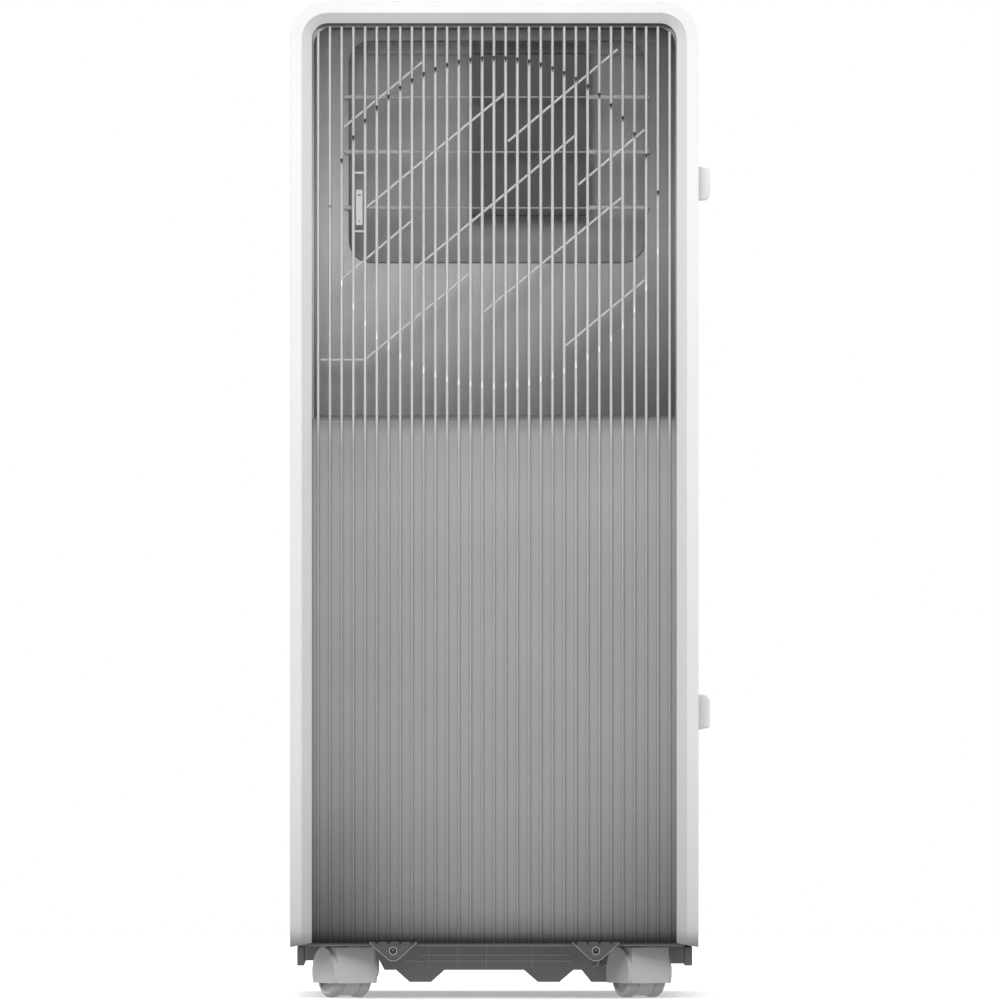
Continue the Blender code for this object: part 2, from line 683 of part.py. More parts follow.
# ---------------------------------------------------------------- controls on top
BUTTONS = (("button_power", -0.066), ("button_mode", -0.044), ("button_cooler", 0.044),
           ("button_warmer", 0.066))


def make_controls():
    top = HEIGHT - 0.0008
    under = HEIGHT - WALL - GAP
    flange = 0.005
    panel = box("control_panel", (-CONTROL_HALF - flange, CONTROL_Y[0] - flange, under - 0.003),
                (CONTROL_HALF + flange, CONTROL_Y[1] + flange, under), "lens")
    deck = box("control_deck", (-CONTROL_HALF, CONTROL_Y[0], under - 0.002),
               (CONTROL_HALF, CONTROL_Y[1], top))
    combine(panel, deck, "UNION")
    combine(panel, box("lens_cut", (-LENS_HALF - GAP, LENS_Y[0] - GAP, top - 0.002),
                       (LENS_HALF + GAP, LENS_Y[1] + GAP, top + 0.01)))
    box("display_lens", (-LENS_HALF, LENS_Y[0], top - 0.0017), (LENS_HALF, LENS_Y[1], top - 0.0001), "lens")
    for name, x in BUTTONS:
        combine(panel, rod(name + "_cut", (x, BUTTON_Y, top - 0.03), (x, BUTTON_Y, top + 0.01),
                           BUTTON_R + 0.0004, segments=16))
        seat = under - 0.003 - HEIGHT - 0.0004
        collar, stem = BUTTON_R + 0.0012, 0.0015
        profile = [(0, -0.0003), (BUTTON_R - 0.0008, -0.0003), (BUTTON_R, -0.0011), (BUTTON_R, seat),
                   (collar, seat), (collar, seat - 0.0012), (stem, seat - 0.0012), (stem, seat - 0.0036),
                   (0, seat - 0.0036)]
        turned(name, profile, (x, BUTTON_Y, HEIGHT), (0, 0, 1), "white", steps=16)
    return panel


# ---------------------------------------------------------------- back fittings
def hook_outline(stem, tip, direction):
    """A cord hook from the side: a stem out of the recess and a lip past the rim, towards direction."""
    base_y, lip_y, reach = RECESS_Y + GAP, 0.157, HOOK_REACH
    corner = 0.005
    points = [(base_y, stem), (reach - corner, stem)]
    points += [(reach - corner * (1 - math.sin(a)), stem + direction * corner * (1 - math.cos(a)))
               for a in (math.radians(30), math.radians(60), math.radians(90))]
    points += [(reach, tip - direction * 0.0030), (reach - 0.0012, tip - direction * 0.0022),
               (lip_y, tip), (lip_y, stem + direction * 0.009), (base_y, stem + direction * 0.009)]
    return points


def make_back_fittings():
    flat_outline("cord_hook_upper", [hook_outline(0.6391, 0.6671, 1)], "X", *HOOK_X, "white")
    flat_outline("cord_hook_lower", [hook_outline(0.2431, 0.2143, -1)], "X", *HOOK_X, "white")
    inner = RECESS_Y - WALL
    flange = 0.074
    proud, seat, foot = 0.0115, -WALL - GAP, -WALL - GAP - 0.0022
    bore = DUCT_BORE_R + 0.0002
    collar = [(EXHAUST_R - GAP, proud), (EXHAUST_R - GAP, seat), (flange, seat), (flange, foot), (bore, foot),
              (bore, proud)]
    turned("exhaust_collar", collar, (EXHAUST[0], RECESS_Y, EXHAUST[1]), (0, 1, 0), "chamber", closed=True)
    cord_r = 0.0042
    gland = [(0.0095, 0.006), (0.0115, 0.004), (0.0115, GAP), (GLAND_R, GAP), (GLAND_R, -0.008),
             (cord_r, -0.008), (cord_r, 0.006)]
    turned("cord_gland", gland, (GLAND[0], RECESS_Y, GLAND[1]), (0, 1, 0), "rubber", steps=14, closed=True)
    for name, (x, z) in (("drain_cap_upper", DRAIN_UPPER), ("drain_cap_lower", DRAIN_LOWER)):
        cap_r, plug_r, length = 0.0125, DRAIN_R - 0.0005, 0.013
        cap = [(0, 0.008), (0.010, 0.008), (cap_r, 0.0055), (cap_r, GAP), (plug_r, GAP),
               (plug_r - 0.0007, -length), (0, -length)]
        turned(name, cap, (x, RECESS_Y, z), (0, 1, 0), "rubber", steps=16)
    left, right = FILTER_MIDDLE - FILTER_HALF, FILTER_MIDDLE + FILTER_HALF
    slots = [rectangle((left, FILTER_Z[0]), (right, FILTER_Z[1]))]
    rows, pitch, height, border, web = 12, 0.0193, 0.0125, 0.010, 0.003
    for row in range(rows):
        low = FILTER_Z[0] + 0.0085 + row * pitch
        for start, end in ((left + border, FILTER_MIDDLE - web), (FILTER_MIDDLE + web, right - border)):
            slots.append(rectangle((start, low), (end, low + height)))
    flat_outline("filter_grille", slots, "Y", RECESS_Y + GAP, RECESS_Y + GAP + 0.004, "white")
    inset = 0.007
    box("air_filter", (left + inset, inner - 0.011, FILTER_Z[0] + inset),
        (right - inset, inner - 0.006, FILTER_Z[1] - inset), "filter")


# ---------------------------------------------------------------- upper chamber
def make_chamber_walls():
    for side, name in ((1, "right"), (-1, "left")):
        low, high = sorted((side * CHAMBER_X, side * (CHAMBER_X + 0.0025)))
        outer = rounded_rectangle((-0.1500, CHAMBER_FLOOR), (0.1410, 0.786), WINDOW_R)
        window = rounded_rectangle((WINDOW_Y[0], WINDOW_Z[0]), (WINDOW_Y[1], WINDOW_Z[1]), WINDOW_R)
        wall = flat_outline("chamber_wall_" + name, [outer, window], "X", low, high, "chamber")
        rails = new_collection("rails_" + name)
        rail_low, rail_high = sorted((side * (CHAMBER_X + 0.0004), side * (CHAMBER_X + 0.0060)))
        for number, z in enumerate(RAILS_Z):
            rail = box("rail_%s_%d" % (name, number), (rail_low, WINDOW_Y[0] - 0.004, z - 0.0016),
                       (rail_high, WINDOW_Y[1] + 0.004, z + 0.0016))
            rails.objects.link(rail)
        combine(wall, rails, "UNION")


def make_fan_wheel(name, x, z, start_y, radius, depth):
    """A centrifugal fan: a disc with a hub, and a ring of blades open between them."""
    shaft = 0.0053
    ring = 0.008
    profile = [(radius, depth), (radius, 0), (shaft, 0), (shaft, 0.022), (0.014, 0.022), (0.014, 0.003),
               (radius - ring, 0.003), (radius - ring, depth)]
    wheel = turned(name, profile, (x, start_y, z), (0, 1, 0), "shell", steps=24, closed=True)
    blades = 12
    bm = bmesh.new()
    for number in range(blades):
        made = box_mesh(bm, (radius - ring - 0.004, 0.008, -0.014), (radius + 0.004, depth - 0.008, 0.014))
        turn = Matrix.Rotation(2 * math.pi * number / blades, 4, "Y")
        bmesh.ops.transform(bm, matrix=turn, verts=made)
    cutter = add_mesh(name + "_cuts", finish_mesh(name + "_cuts", bm))
    cutter.location = (x, start_y, z)
    return combine(wheel, cutter)


def make_motor(name, x, z, back_y, front_y, shaft_end, radius):
    length = shaft_end - front_y
    body = back_y - front_y
    profile = [(0, length), (0.005, length), (0.005, body + 0.006), (0.012, body + 0.006), (0.012, body),
               (radius - 0.006, body), (radius, body - 0.006), (radius, 0.006), (radius - 0.006, 0), (0, 0)]
    return smooth_later(turned(name, profile, (x, front_y, z), (0, 1, 0), "steel", steps=16))


def smooth_later(obj):
    obj.modifiers["turn"].use_smooth_shade = True
    return obj


def make_upper_chamber():
    """The evaporator's air box: open at the back, with a baffle and its round inlet between coil and fan."""
    low = (-HOUSING_HALF, HOUSING_Y[0], HOUSING_Z[0])
    high = (HOUSING_HALF, HOUSING_Y[1], HOUSING_Z[1])
    inside = HOUSING_HALF - WALL
    housing = box("fan_housing_upper", low, high, "chamber")
    combine(housing, box("upper_hollow", (-inside, low[1] + WALL, low[2] + WALL),
                         (inside, high[1] + 0.01, high[2] - WALL)))
    combine(housing, box("upper_baffle", (-inside - 0.001, 0.0745, low[2] + 0.001),
                         (inside + 0.001, 0.0775, high[2] - 0.001)), "UNION")
    x, z = UPPER_FAN
    combine(housing, rod("upper_inlet", (x, 0.06, z), (x, 0.09, z), 0.070, segments=24))
    combine(housing, box("outlet_mouth", (-inside, low[1] - 0.01, 0.650), (inside, low[1] + 0.01, 0.740)))
    combine(housing, rod("pipe_hole", (*PIPE_END, 0.47), (*PIPE_END, 0.489), 0.007, segments=12))
    make_fan_wheel("evaporator_fan", x, z, 0.010, 0.082, 0.060)
    make_motor("fan_motor_upper", x, z, -0.045, -0.1155, 0.066, 0.042)
    box("evaporator_coil", (-inside + 0.002, COIL_Y[0], 0.490), (inside - 0.002, COIL_Y[1], 0.768), "fins")
    pan_half, pan_front, pan_back = 0.158, -0.160, 0.139
    pan = box("condensate_pan", (-pan_half, pan_front, PAN_Z[0]), (pan_half, pan_back, PAN_Z[1]), "chamber")
    combine(pan, box("pan_hollow", (-pan_half + WALL, pan_front + WALL, PAN_Z[0] + WALL),
                     (pan_half - WALL, pan_back - WALL, PAN_Z[1] + 0.008)))
    hole = rod("pan_hole", (*PIPE_END, PAN_Z[0] - 0.01), (*PIPE_END, PAN_Z[1] + 0.01), 0.008, segments=12)
    combine(pan, hole)
    box("control_box", (HOUSING_HALF + GAP, -0.024, 0.6268), (0.152, 0.072, 0.7572), "shell")


# ---------------------------------------------------------------- lower chamber
def make_lower_chamber():
    low, high = LOWER_HOUSING
    housing = box("fan_housing_lower", low, high, "chamber")
    combine(housing, box("lower_hollow", [value + WALL for value in low], [value - WALL for value in high]))
    x, z = LOWER_FAN
    combine(housing, rod("lower_inlet", (x, 0.06, z), (x, 0.09, z), 0.068, segments=24))
    x, z = EXHAUST
    combine(housing, rod("duct_outer", (x, high[1] - 0.0015, z), (x, 0.1405, z), DUCT_R, segments=32), "UNION")
    combine(housing, rod("duct_inner", (x, 0.060, z), (x, 0.16, z), DUCT_BORE_R, segments=32))
    make_fan_wheel("condenser_fan", *LOWER_FAN, 0.008, 0.080, 0.060)
    make_motor("fan_motor_lower", *LOWER_FAN, -0.035, -0.0965, 0.066, 0.040)
    box("condenser_coil", (-0.150, COIL_Y[0], 0.066), (0.150, COIL_Y[1], 0.330), "fins")
    make_compressor()
    make_pipe()


def make_compressor():
    """A domed upright can on a square foot plate."""
    height, dome, foot_half, steps = COMPRESSOR_Z[1] - COMPRESSOR_Z[0], 0.026, 0.060, 3
    angles = [math.pi / 2 * i / steps for i in range(steps + 1)]
    top = [(COMPRESSOR_R * math.sin(a), height - dome + dome * math.cos(a)) for a in angles]
    bottom = [(r, height - h) for r, h in reversed(top)]
    x, y = COMPRESSOR
    can = turned("compressor", top + bottom, (x, y, COMPRESSOR_Z[0]), (0, 0, 1), "shell", steps=18)
    foot = box("compressor_foot", (x - foot_half, y - foot_half, 0.062), (x + foot_half, y + foot_half, 0.066))
    return combine(can, foot, "UNION")


def make_pipe():
    """The suction pipe from the compressor's top up to the evaporator."""
    curve = bpy.data.curves.new("refrigerant_pipe", "CURVE")
    curve.dimensions = "3D"
    curve.bevel_depth = 0.0048
    curve.bevel_resolution = 2
    curve.use_fill_caps = True
    curve.resolution_u = 4
    spline = curve.splines.new("BEZIER")
    route = [(*COMPRESSOR, COMPRESSOR_Z[1] + 0.0005), (*COMPRESSOR, 0.370), (-0.103, 0.050, 0.425),
             (*PIPE_END, 0.460), (*PIPE_END, 0.4895)]
    spline.bezier_points.add(len(route) - 1)
    for point, place in zip(spline.bezier_points, route):
        point.co = place
        point.handle_left_type = "AUTO"
        point.handle_right_type = "AUTO"
    curve.materials.append(part_material("refrigerant_pipe", "copper"))
    pipe = bpy.data.objects.new("refrigerant_pipe", curve)
    PARTS.objects.link(pipe)
    return pipe


# ---------------------------------------------------------------- assembly
def main():
    make_front_cover()
    make_top_cover()
    make_rear_cover()
    make_side_panel_left(make_side_panel_right())
    make_side_screws()
    make_room_sensor()
    make_base_tray()
    make_skirts()
    make_casters()
    make_outlet_frame()
    make_outlet_louvre()
    make_vanes()
    make_controls()
    make_back_fittings()
    make_chamber_walls()
    make_upper_chamber()
    make_lower_chamber()


main()
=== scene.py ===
"""Looks of the portable room air conditioner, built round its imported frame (metres, +Z up, front at -Y)."""

import json
import math

import bmesh
import bpy
from mathutils import Matrix, Vector

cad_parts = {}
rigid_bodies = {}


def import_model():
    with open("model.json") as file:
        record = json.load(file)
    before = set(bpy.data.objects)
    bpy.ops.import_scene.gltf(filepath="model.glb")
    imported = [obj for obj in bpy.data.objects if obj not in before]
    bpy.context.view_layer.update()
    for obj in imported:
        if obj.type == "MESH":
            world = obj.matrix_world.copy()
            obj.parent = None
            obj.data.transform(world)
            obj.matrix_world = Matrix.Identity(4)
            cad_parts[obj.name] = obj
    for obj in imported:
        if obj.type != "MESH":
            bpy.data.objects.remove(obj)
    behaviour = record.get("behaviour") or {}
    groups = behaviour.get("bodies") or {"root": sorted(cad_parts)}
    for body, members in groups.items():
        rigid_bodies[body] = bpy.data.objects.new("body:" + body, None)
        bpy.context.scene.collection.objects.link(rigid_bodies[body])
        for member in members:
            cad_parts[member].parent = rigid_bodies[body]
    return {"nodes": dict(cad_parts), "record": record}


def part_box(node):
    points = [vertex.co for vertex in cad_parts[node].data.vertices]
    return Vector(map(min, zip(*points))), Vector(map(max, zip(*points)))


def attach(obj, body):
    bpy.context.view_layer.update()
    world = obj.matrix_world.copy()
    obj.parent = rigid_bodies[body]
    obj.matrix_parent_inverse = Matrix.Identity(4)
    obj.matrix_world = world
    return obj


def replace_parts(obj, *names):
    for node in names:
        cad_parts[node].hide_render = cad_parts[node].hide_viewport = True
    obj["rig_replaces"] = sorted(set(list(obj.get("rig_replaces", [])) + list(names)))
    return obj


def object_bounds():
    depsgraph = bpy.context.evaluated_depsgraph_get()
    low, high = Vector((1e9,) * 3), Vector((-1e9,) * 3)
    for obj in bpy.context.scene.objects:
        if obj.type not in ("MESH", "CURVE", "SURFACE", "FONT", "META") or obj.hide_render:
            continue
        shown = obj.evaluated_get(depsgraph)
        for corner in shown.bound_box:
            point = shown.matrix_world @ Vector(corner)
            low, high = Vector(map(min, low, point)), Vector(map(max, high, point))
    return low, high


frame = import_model()
CAD_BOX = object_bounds()
RECORD = frame["record"]
BODY_OF = {node: body for body, nodes in RECORD["behaviour"]["bodies"].items() for node in nodes}
SLOT_OF = {entry["node"]: entry["material_slot"] for entry in RECORD["subparts"]}
SIDES = ((1, "right"), (-1, "left"))
MATERIALS = {}


def new_object(name, data):
    """An object with this data, linked to the scene."""
    obj = bpy.data.objects.new(name, data)
    bpy.context.scene.collection.objects.link(obj)
    return obj


# ---------------- camera, floor and light
def make_camera():
    """A very long lens, square on to the right side, with the floor line near the picture's foot."""
    high = CAD_BOX[1]
    picture_width, lens, sensor = 0.8, 1000.0, 36.0
    camera = bpy.data.cameras.new("camera")
    camera.lens = lens
    camera.sensor_width = sensor
    camera.clip_end = 200
    eye = new_object("camera", camera)
    distance = picture_width * lens / sensor
    eye.location = (high[0] + distance, 0, high[2] / 2)
    eye.rotation_euler = (math.pi / 2, 0, math.pi / 2)
    bpy.context.scene.camera = eye


def area_light(name, place, target, size, power, spread):
    """A round soft box with a grid, which keeps its light within an angle given in degrees."""
    light = bpy.data.lights.new(name, "AREA")
    light.shape = "DISK"
    light.size = size
    light.energy = power
    light.spread = math.radians(spread)
    obj = new_object(name, light)
    obj.location = place
    obj.rotation_euler = (Vector(target) - Vector(place)).to_track_quat("-Z", "Y").to_euler()


def make_floor():
    """A round pale floor. It takes shadows and throws no light on the object.

    It gives off a little light of its own, so that its far edge does not show against the background.
    """
    radius, thickness, top = 3.0, 0.002, -0.0004
    bpy.ops.mesh.primitive_cylinder_add(vertices=96, radius=radius, depth=thickness,
                                        location=(0, 0, top - thickness / 2))
    floor = bpy.context.object
    floor.name = "floor"
    material, shader = new_shader("floor_pale", (0.93, 0.93, 0.93), 0.85)
    cloud = object_noise(material, 3, 2)
    join(material, colour_between(material, cloud.outputs["Fac"], (0.92, 0.92, 0.92), (0.94, 0.94, 0.94)),
         shader.inputs["Base Color"])
    shader.inputs["Specular IOR Level"].default_value = 0.1
    shader.inputs["Emission Color"].default_value = (1, 1, 1, 1)
    shader.inputs["Emission Strength"].default_value = 0.30
    floor.data.materials.append(material)
    floor.visible_diffuse = False
    floor.visible_glossy = False


def make_world():
    """White behind the object, and a studio that is bright overhead and dimmer at the sides and below."""
    world = bpy.data.worlds.new("studio")
    world.use_nodes = True
    background = world.node_tree.nodes["Background"]
    place = add_node(world, "ShaderNodeTexCoord")
    split = add_node(world, "ShaderNodeSeparateXYZ")
    height = add_node(world, "ShaderNodeMapRange", From_Min=-1.0)
    ramp = add_node(world, "ShaderNodeValToRGB")
    elements = ramp.color_ramp.elements
    elements[0].position, elements[0].color = 0.30, (0.42, 0.42, 0.42, 1)
    elements[1].position, elements[1].color = 0.80, (1.0, 1.0, 1.0, 1)
    elements.new(0.50).color = (0.50, 0.50, 0.50, 1)
    path = add_node(world, "ShaderNodeLightPath")
    white = add_node(world, "ShaderNodeMix")
    white.data_type = "RGBA"
    white.inputs["B"].default_value = (1, 1, 1, 1)
    factor, first_colour, mixed_colour = white.inputs[0], white.inputs[6], white.outputs[2]
    for start, end in ((place.outputs["Generated"], split.inputs["Vector"]),
                       (split.outputs["Z"], height.inputs["Value"]), (height.outputs["Result"], ramp.inputs["Fac"]),
                       (ramp.outputs["Color"], first_colour), (path.outputs["Is Camera Ray"], factor),
                       (mixed_colour, background.inputs["Color"])):
        join(world, start, end)
    background.inputs["Strength"].default_value = 1.0
    bpy.context.scene.world = world


def make_stage():
    """Floor, background and lights."""
    make_floor()
    make_world()
    bpy.context.scene.view_settings.view_transform = "Standard"
    # name, place, target, diameter, watts, angle
    area_light("key_right", (1.9, -0.15, 1.25), (0.2, -0.01, 0.50), 0.9, 2.45, 60)
    area_light("key_low", (1.5, 0, 0.12), (0.2, 0, 0.79), 0.5, 0.12, 30)
    area_light("key_front", (-0.9, -2.2, 1.7), (0, -0.16, 0.50), 1.2, 9.5, 120)
    area_light("key_back", (-1.6, 2.2, 1.6), (0, 0.16, 0.45), 1.2, 8, 120)
    area_light("key_floor", (0, 0, 3.4), (0, 0, 0), 2.6, 2, 150)


# ---------------- materials
def new_shader(name, colour, roughness, metallic=0.0):
    """A material with a plain Principled shader, kept under its name, as (material, shader)."""
    material = MATERIALS[name] = bpy.data.materials.new(name)
    material.use_nodes = True
    shader = material.node_tree.nodes["Principled BSDF"]
    shader.inputs["Base Color"].default_value = (*colour, 1.0)
    shader.inputs["Roughness"].default_value = roughness
    shader.inputs["Metallic"].default_value = metallic
    return material, shader


def add_node(owner, kind, **inputs):
    """A shader node of a material or world, with some of its inputs set by name."""
    node = owner.node_tree.nodes.new(kind)
    for name, value in inputs.items():
        node.inputs[name.replace("_", " ")].default_value = value
    return node


def join(owner, start, end):
    owner.node_tree.links.new(start, end)


def object_noise(material, scale, detail=2.0):
    """Noise that is fixed to the object's own axes."""
    place = add_node(material, "ShaderNodeTexCoord")
    noise = add_node(material, "ShaderNodeTexNoise", Scale=scale, Detail=detail)
    join(material, place.outputs["Object"], noise.inputs["Vector"])
    return noise


def spread(material, source, low, high):
    """Maps a texture's middle range on to low..high."""
    node = add_node(material, "ShaderNodeMapRange", From_Min=0.3, From_Max=0.7, To_Min=low, To_Max=high)
    join(material, source, node.inputs["Value"])
    return node.outputs["Result"]


def colour_between(material, source, dark, light):
    """Maps a texture's middle range on to the colours between dark and light."""
    ramp = add_node(material, "ShaderNodeValToRGB")
    ramp.color_ramp.elements[0].position = 0.32
    ramp.color_ramp.elements[1].position = 0.68
    ramp.color_ramp.elements[0].color = (*dark, 1)
    ramp.color_ramp.elements[1].color = (*light, 1)
    join(material, source, ramp.inputs["Fac"])
    return ramp.outputs["Color"]


def add_bump(material, shader, source, strength, distance):
    """Fine relief from a texture."""
    bump = add_node(material, "ShaderNodeBump", Strength=strength, Distance=distance)
    join(material, source, bump.inputs["Height"])
    join(material, bump.outputs["Normal"], shader.inputs["Normal"])


def moulded_plastic(name, colour, roughness, variation=0.03, grain=2600, bump=0.12):
    """Spark-eroded moulded plastic: a fine grain, slightly uneven gloss and very slight mottling."""
    material, shader = new_shader(name, colour, roughness)
    mottling = object_noise(material, 9, 3)
    dark = tuple(value * (1 - variation) for value in colour)
    light = tuple(min(value * (1 + variation), 1) for value in colour)
    join(material, colour_between(material, mottling.outputs["Fac"], dark, light), shader.inputs["Base Color"])
    wear = object_noise(material, 60, 4)
    join(material, spread(material, wear.outputs["Fac"], roughness - 0.05, roughness + 0.05),
         shader.inputs["Roughness"])
    grit = object_noise(material, grain, 2)
    add_bump(material, shader, grit.outputs["Fac"], bump, 0.0002)
    shader.inputs["Specular IOR Level"].default_value = 0.4
    return material


def shade_along(material, axis, stops):
    """A factor that follows one of the object's own axes, from (place, factor) stops."""
    place = add_node(material, "ShaderNodeTexCoord")
    split = add_node(material, "ShaderNodeSeparateXYZ")
    (start, first), (end, last) = stops[0], stops[-1]
    share = add_node(material, "ShaderNodeMapRange", From_Min=start, From_Max=end)
    ramp = add_node(material, "ShaderNodeValToRGB")
    elements = ramp.color_ramp.elements
    elements[0].color = (first, first, first, 1)
    elements[1].color = (last, last, last, 1)
    for where, factor in stops[1:-1]:
        elements.new((where - start) / (end - start)).color = (factor, factor, factor, 1)
    join(material, place.outputs["Object"], split.inputs["Vector"])
    join(material, split.outputs[axis], share.inputs["Value"])
    join(material, share.outputs["Result"], ramp.inputs["Fac"])
    return ramp.outputs["Color"]


def arithmetic(material, operation, first, second):
    """A maths node on two values, each a number or another node's output."""
    node = add_node(material, "ShaderNodeMath")
    node.operation = operation
    for socket, value in zip(node.inputs, (first, second)):
        if isinstance(value, (int, float)):
            socket.default_value = value
        else:
            join(material, value, socket)
    return node.outputs[0]


def plastic_with_painted_shading(name, colour, roughness, rise, across=None, reach=None, variation=0.03):
    """Moulded plastic with light and shade painted into its colour: lighter or darker by height, and darker along its
    depth.

    rise gives the painted light and shade by height. across gives the painted shade by depth, and reach the share of
    that shade by height.
    """
    material = moulded_plastic(name, colour, roughness, variation)
    shader = material.node_tree.nodes["Principled BSDF"]
    base = shader.inputs["Base Color"].links[0].from_socket
    factor = shade_along(material, "Z", rise)
    if across:
        fall = arithmetic(material, "MULTIPLY", shade_along(material, "Y", across),
                          shade_along(material, "Z", reach) if reach else 1.0)
        factor = arithmetic(material, "MULTIPLY", factor, arithmetic(material, "SUBTRACT", 1.0, fall))
    scaled = add_node(material, "ShaderNodeVectorMath")
    scaled.operation = "SCALE"
    join(material, base, scaled.inputs["Vector"])
    join(material, factor, scaled.inputs["Scale"])
    join(material, scaled.outputs["Vector"], shader.inputs["Base Color"])


def gloss_plastic(name, colour):
    """Polished dark plastic with faint smears and dust."""
    material, shader = new_shader(name, colour, 0.08)
    smears = object_noise(material, 40, 3)
    join(material, spread(material, smears.outputs["Fac"], 0.05, 0.14), shader.inputs["Roughness"])
    dust = object_noise(material, 700, 2)
    light = tuple(value * 1.6 + 0.004 for value in colour)
    join(material, colour_between(material, dust.outputs["Fac"], colour, light), shader.inputs["Base Color"])


def metal(name, colour, roughness):
    """Drawn or rolled metal, with a fine uneven sheen."""
    material, shader = new_shader(name, colour, roughness, 1.0)
    noise = object_noise(material, 300, 3)
    join(material, spread(material, noise.outputs["Fac"], roughness - 0.1, roughness + 0.12),
         shader.inputs["Roughness"])
    dark = tuple(value * 0.86 for value in colour)
    join(material, colour_between(material, noise.outputs["Fac"], dark, colour), shader.inputs["Base Color"])
    add_bump(material, shader, noise.outputs["Fac"], 0.15, 0.0002)


def striped(name, light, dark, pitch, direction, roughness, metallic=0.0):
    """Fine parallel blades or threads: stripes of a given pitch along one axis."""
    bands_per_unit = 0.314
    material, shader = new_shader(name, light, roughness, metallic)
    place = add_node(material, "ShaderNodeTexCoord")
    wave = add_node(material, "ShaderNodeTexWave", Scale=bands_per_unit / pitch, Distortion=0.0)
    wave.wave_type = "BANDS"
    wave.bands_direction = direction
    join(material, place.outputs["Object"], wave.inputs["Vector"])
    join(material, colour_between(material, wave.outputs["Fac"], dark, light), shader.inputs["Base Color"])
    add_bump(material, shader, wave.outputs["Fac"], 0.6, pitch * 0.5)


# Painted light and shade by place, as (height or depth in metres, factor).
# The panels, plate and covers are darker towards their foot, the plate darker at its rolled top, the lower panel
# darker towards its front and rear edges, the bars darker below the grille, and the inner wall lighter across its
# middle and darker above, below and towards the rear.
FOOT_PAINTED_SHADE = [(0.044, 0.05), (0.0464, 0.12), (0.0544, 0.54), (0.0704, 0.78), (0.0944, 0.88), (0.158, 0.98)]
LOWER_BARS_PAINTED_SHADE = 0.76
PANEL_PAINTED_SHADE_RISE = [(z, factor * LOWER_BARS_PAINTED_SHADE) for z, factor in FOOT_PAINTED_SHADE] + [(0.44, LOWER_BARS_PAINTED_SHADE), (0.47, 1.0), (0.8, 1.0)]
PLATE_PAINTED_SHADE_RISE = FOOT_PAINTED_SHADE + [(0.40, 0.95), (0.440, 0.84), (0.4505, 0.80), (0.4570, 0.64), (0.4625, 0.44),
                          (0.468, 0.36)]
PANEL_PAINTED_SHADE_ACROSS = [(-0.152, 1.0), (-0.125, 0.85), (-0.077, 0.34), (-0.03, 0.05), (0.0, 0.0), (0.074, 0.2),
                (0.130, 0.6), (0.143, 0.8)]
PANEL_PAINTED_SHADE_REACH = [(0.05, 0.60), (0.0944, 0.46), (0.158, 0.28), (0.22, 0.16), (0.30, 0.13), (0.44, 0.13), (0.47, 0.0)]
WALL_PAINTED_LIGHT_AND_SHADE_RISE = [(0.464, 0.78), (0.478, 0.70), (0.494, 0.71), (0.526, 0.92), (0.558, 1.06), (0.602, 1.28),
             (0.638, 1.2), (0.678, 0.96), (0.718, 0.78), (0.750, 0.58), (0.764, 0.60), (0.770, 1.0),
             (0.7755, 1.1), (0.7765, 0.32), (0.795, 0.28)]
WALL_PAINTED_SHADE_ACROSS = [(-0.142, 0.0), (-0.077, 0.04), (0.0, 0.18), (0.074, 0.36), (0.121, 0.42), (0.14, 0.46)]
COVER_PAINTED_SHADE_RISE = [(0.0412, 0.36), (0.0488, 0.55), (0.0544, 0.75), (0.064, 0.84), (0.0944, 0.91), (0.2, 1.0)]

# Moulded plastics: grey tone, extra blue, roughness, mottling.
MOULDED = {
    "casing_white": (0.80, 0.0, 0.42, 0.012),
    "button_white": (0.78, 0.0, 0.35, 0.02),
    # The hooks' white below is a lighter copy of the casing white: painted light.
    "hook_white_painted_light": (0.88, 0.0, 0.42, 0.012),
    "base_dark": (0.30, 0.002, 0.55, 0.10),
    "skirt_grey": (0.28, 0.002, 0.50, 0.06),
    "caster_grey": (0.60, 0.0, 0.45, 0.05),
    "caster_wheel": (0.50, 0.002, 0.50, 0.06),
    "inner_grey": (0.50, 0.002, 0.60, 0.04),
    # The darker inner grey below is painted shade, for the inner parts deeper in.
    "inner_grey_painted_shade": (0.34, 0.002, 0.60, 0.04),
    "rib_grey": (0.47, 0.002, 0.50, 0.03),
    "tab_dark": (0.105, 0.002, 0.50, 0.06),
    "shell_black": (0.085, 0.002, 0.50, 0.12),
}


def grey(tone, blue=0.002):
    """A neutral grey, usually with a trace of blue."""
    return (tone, tone, tone + blue)


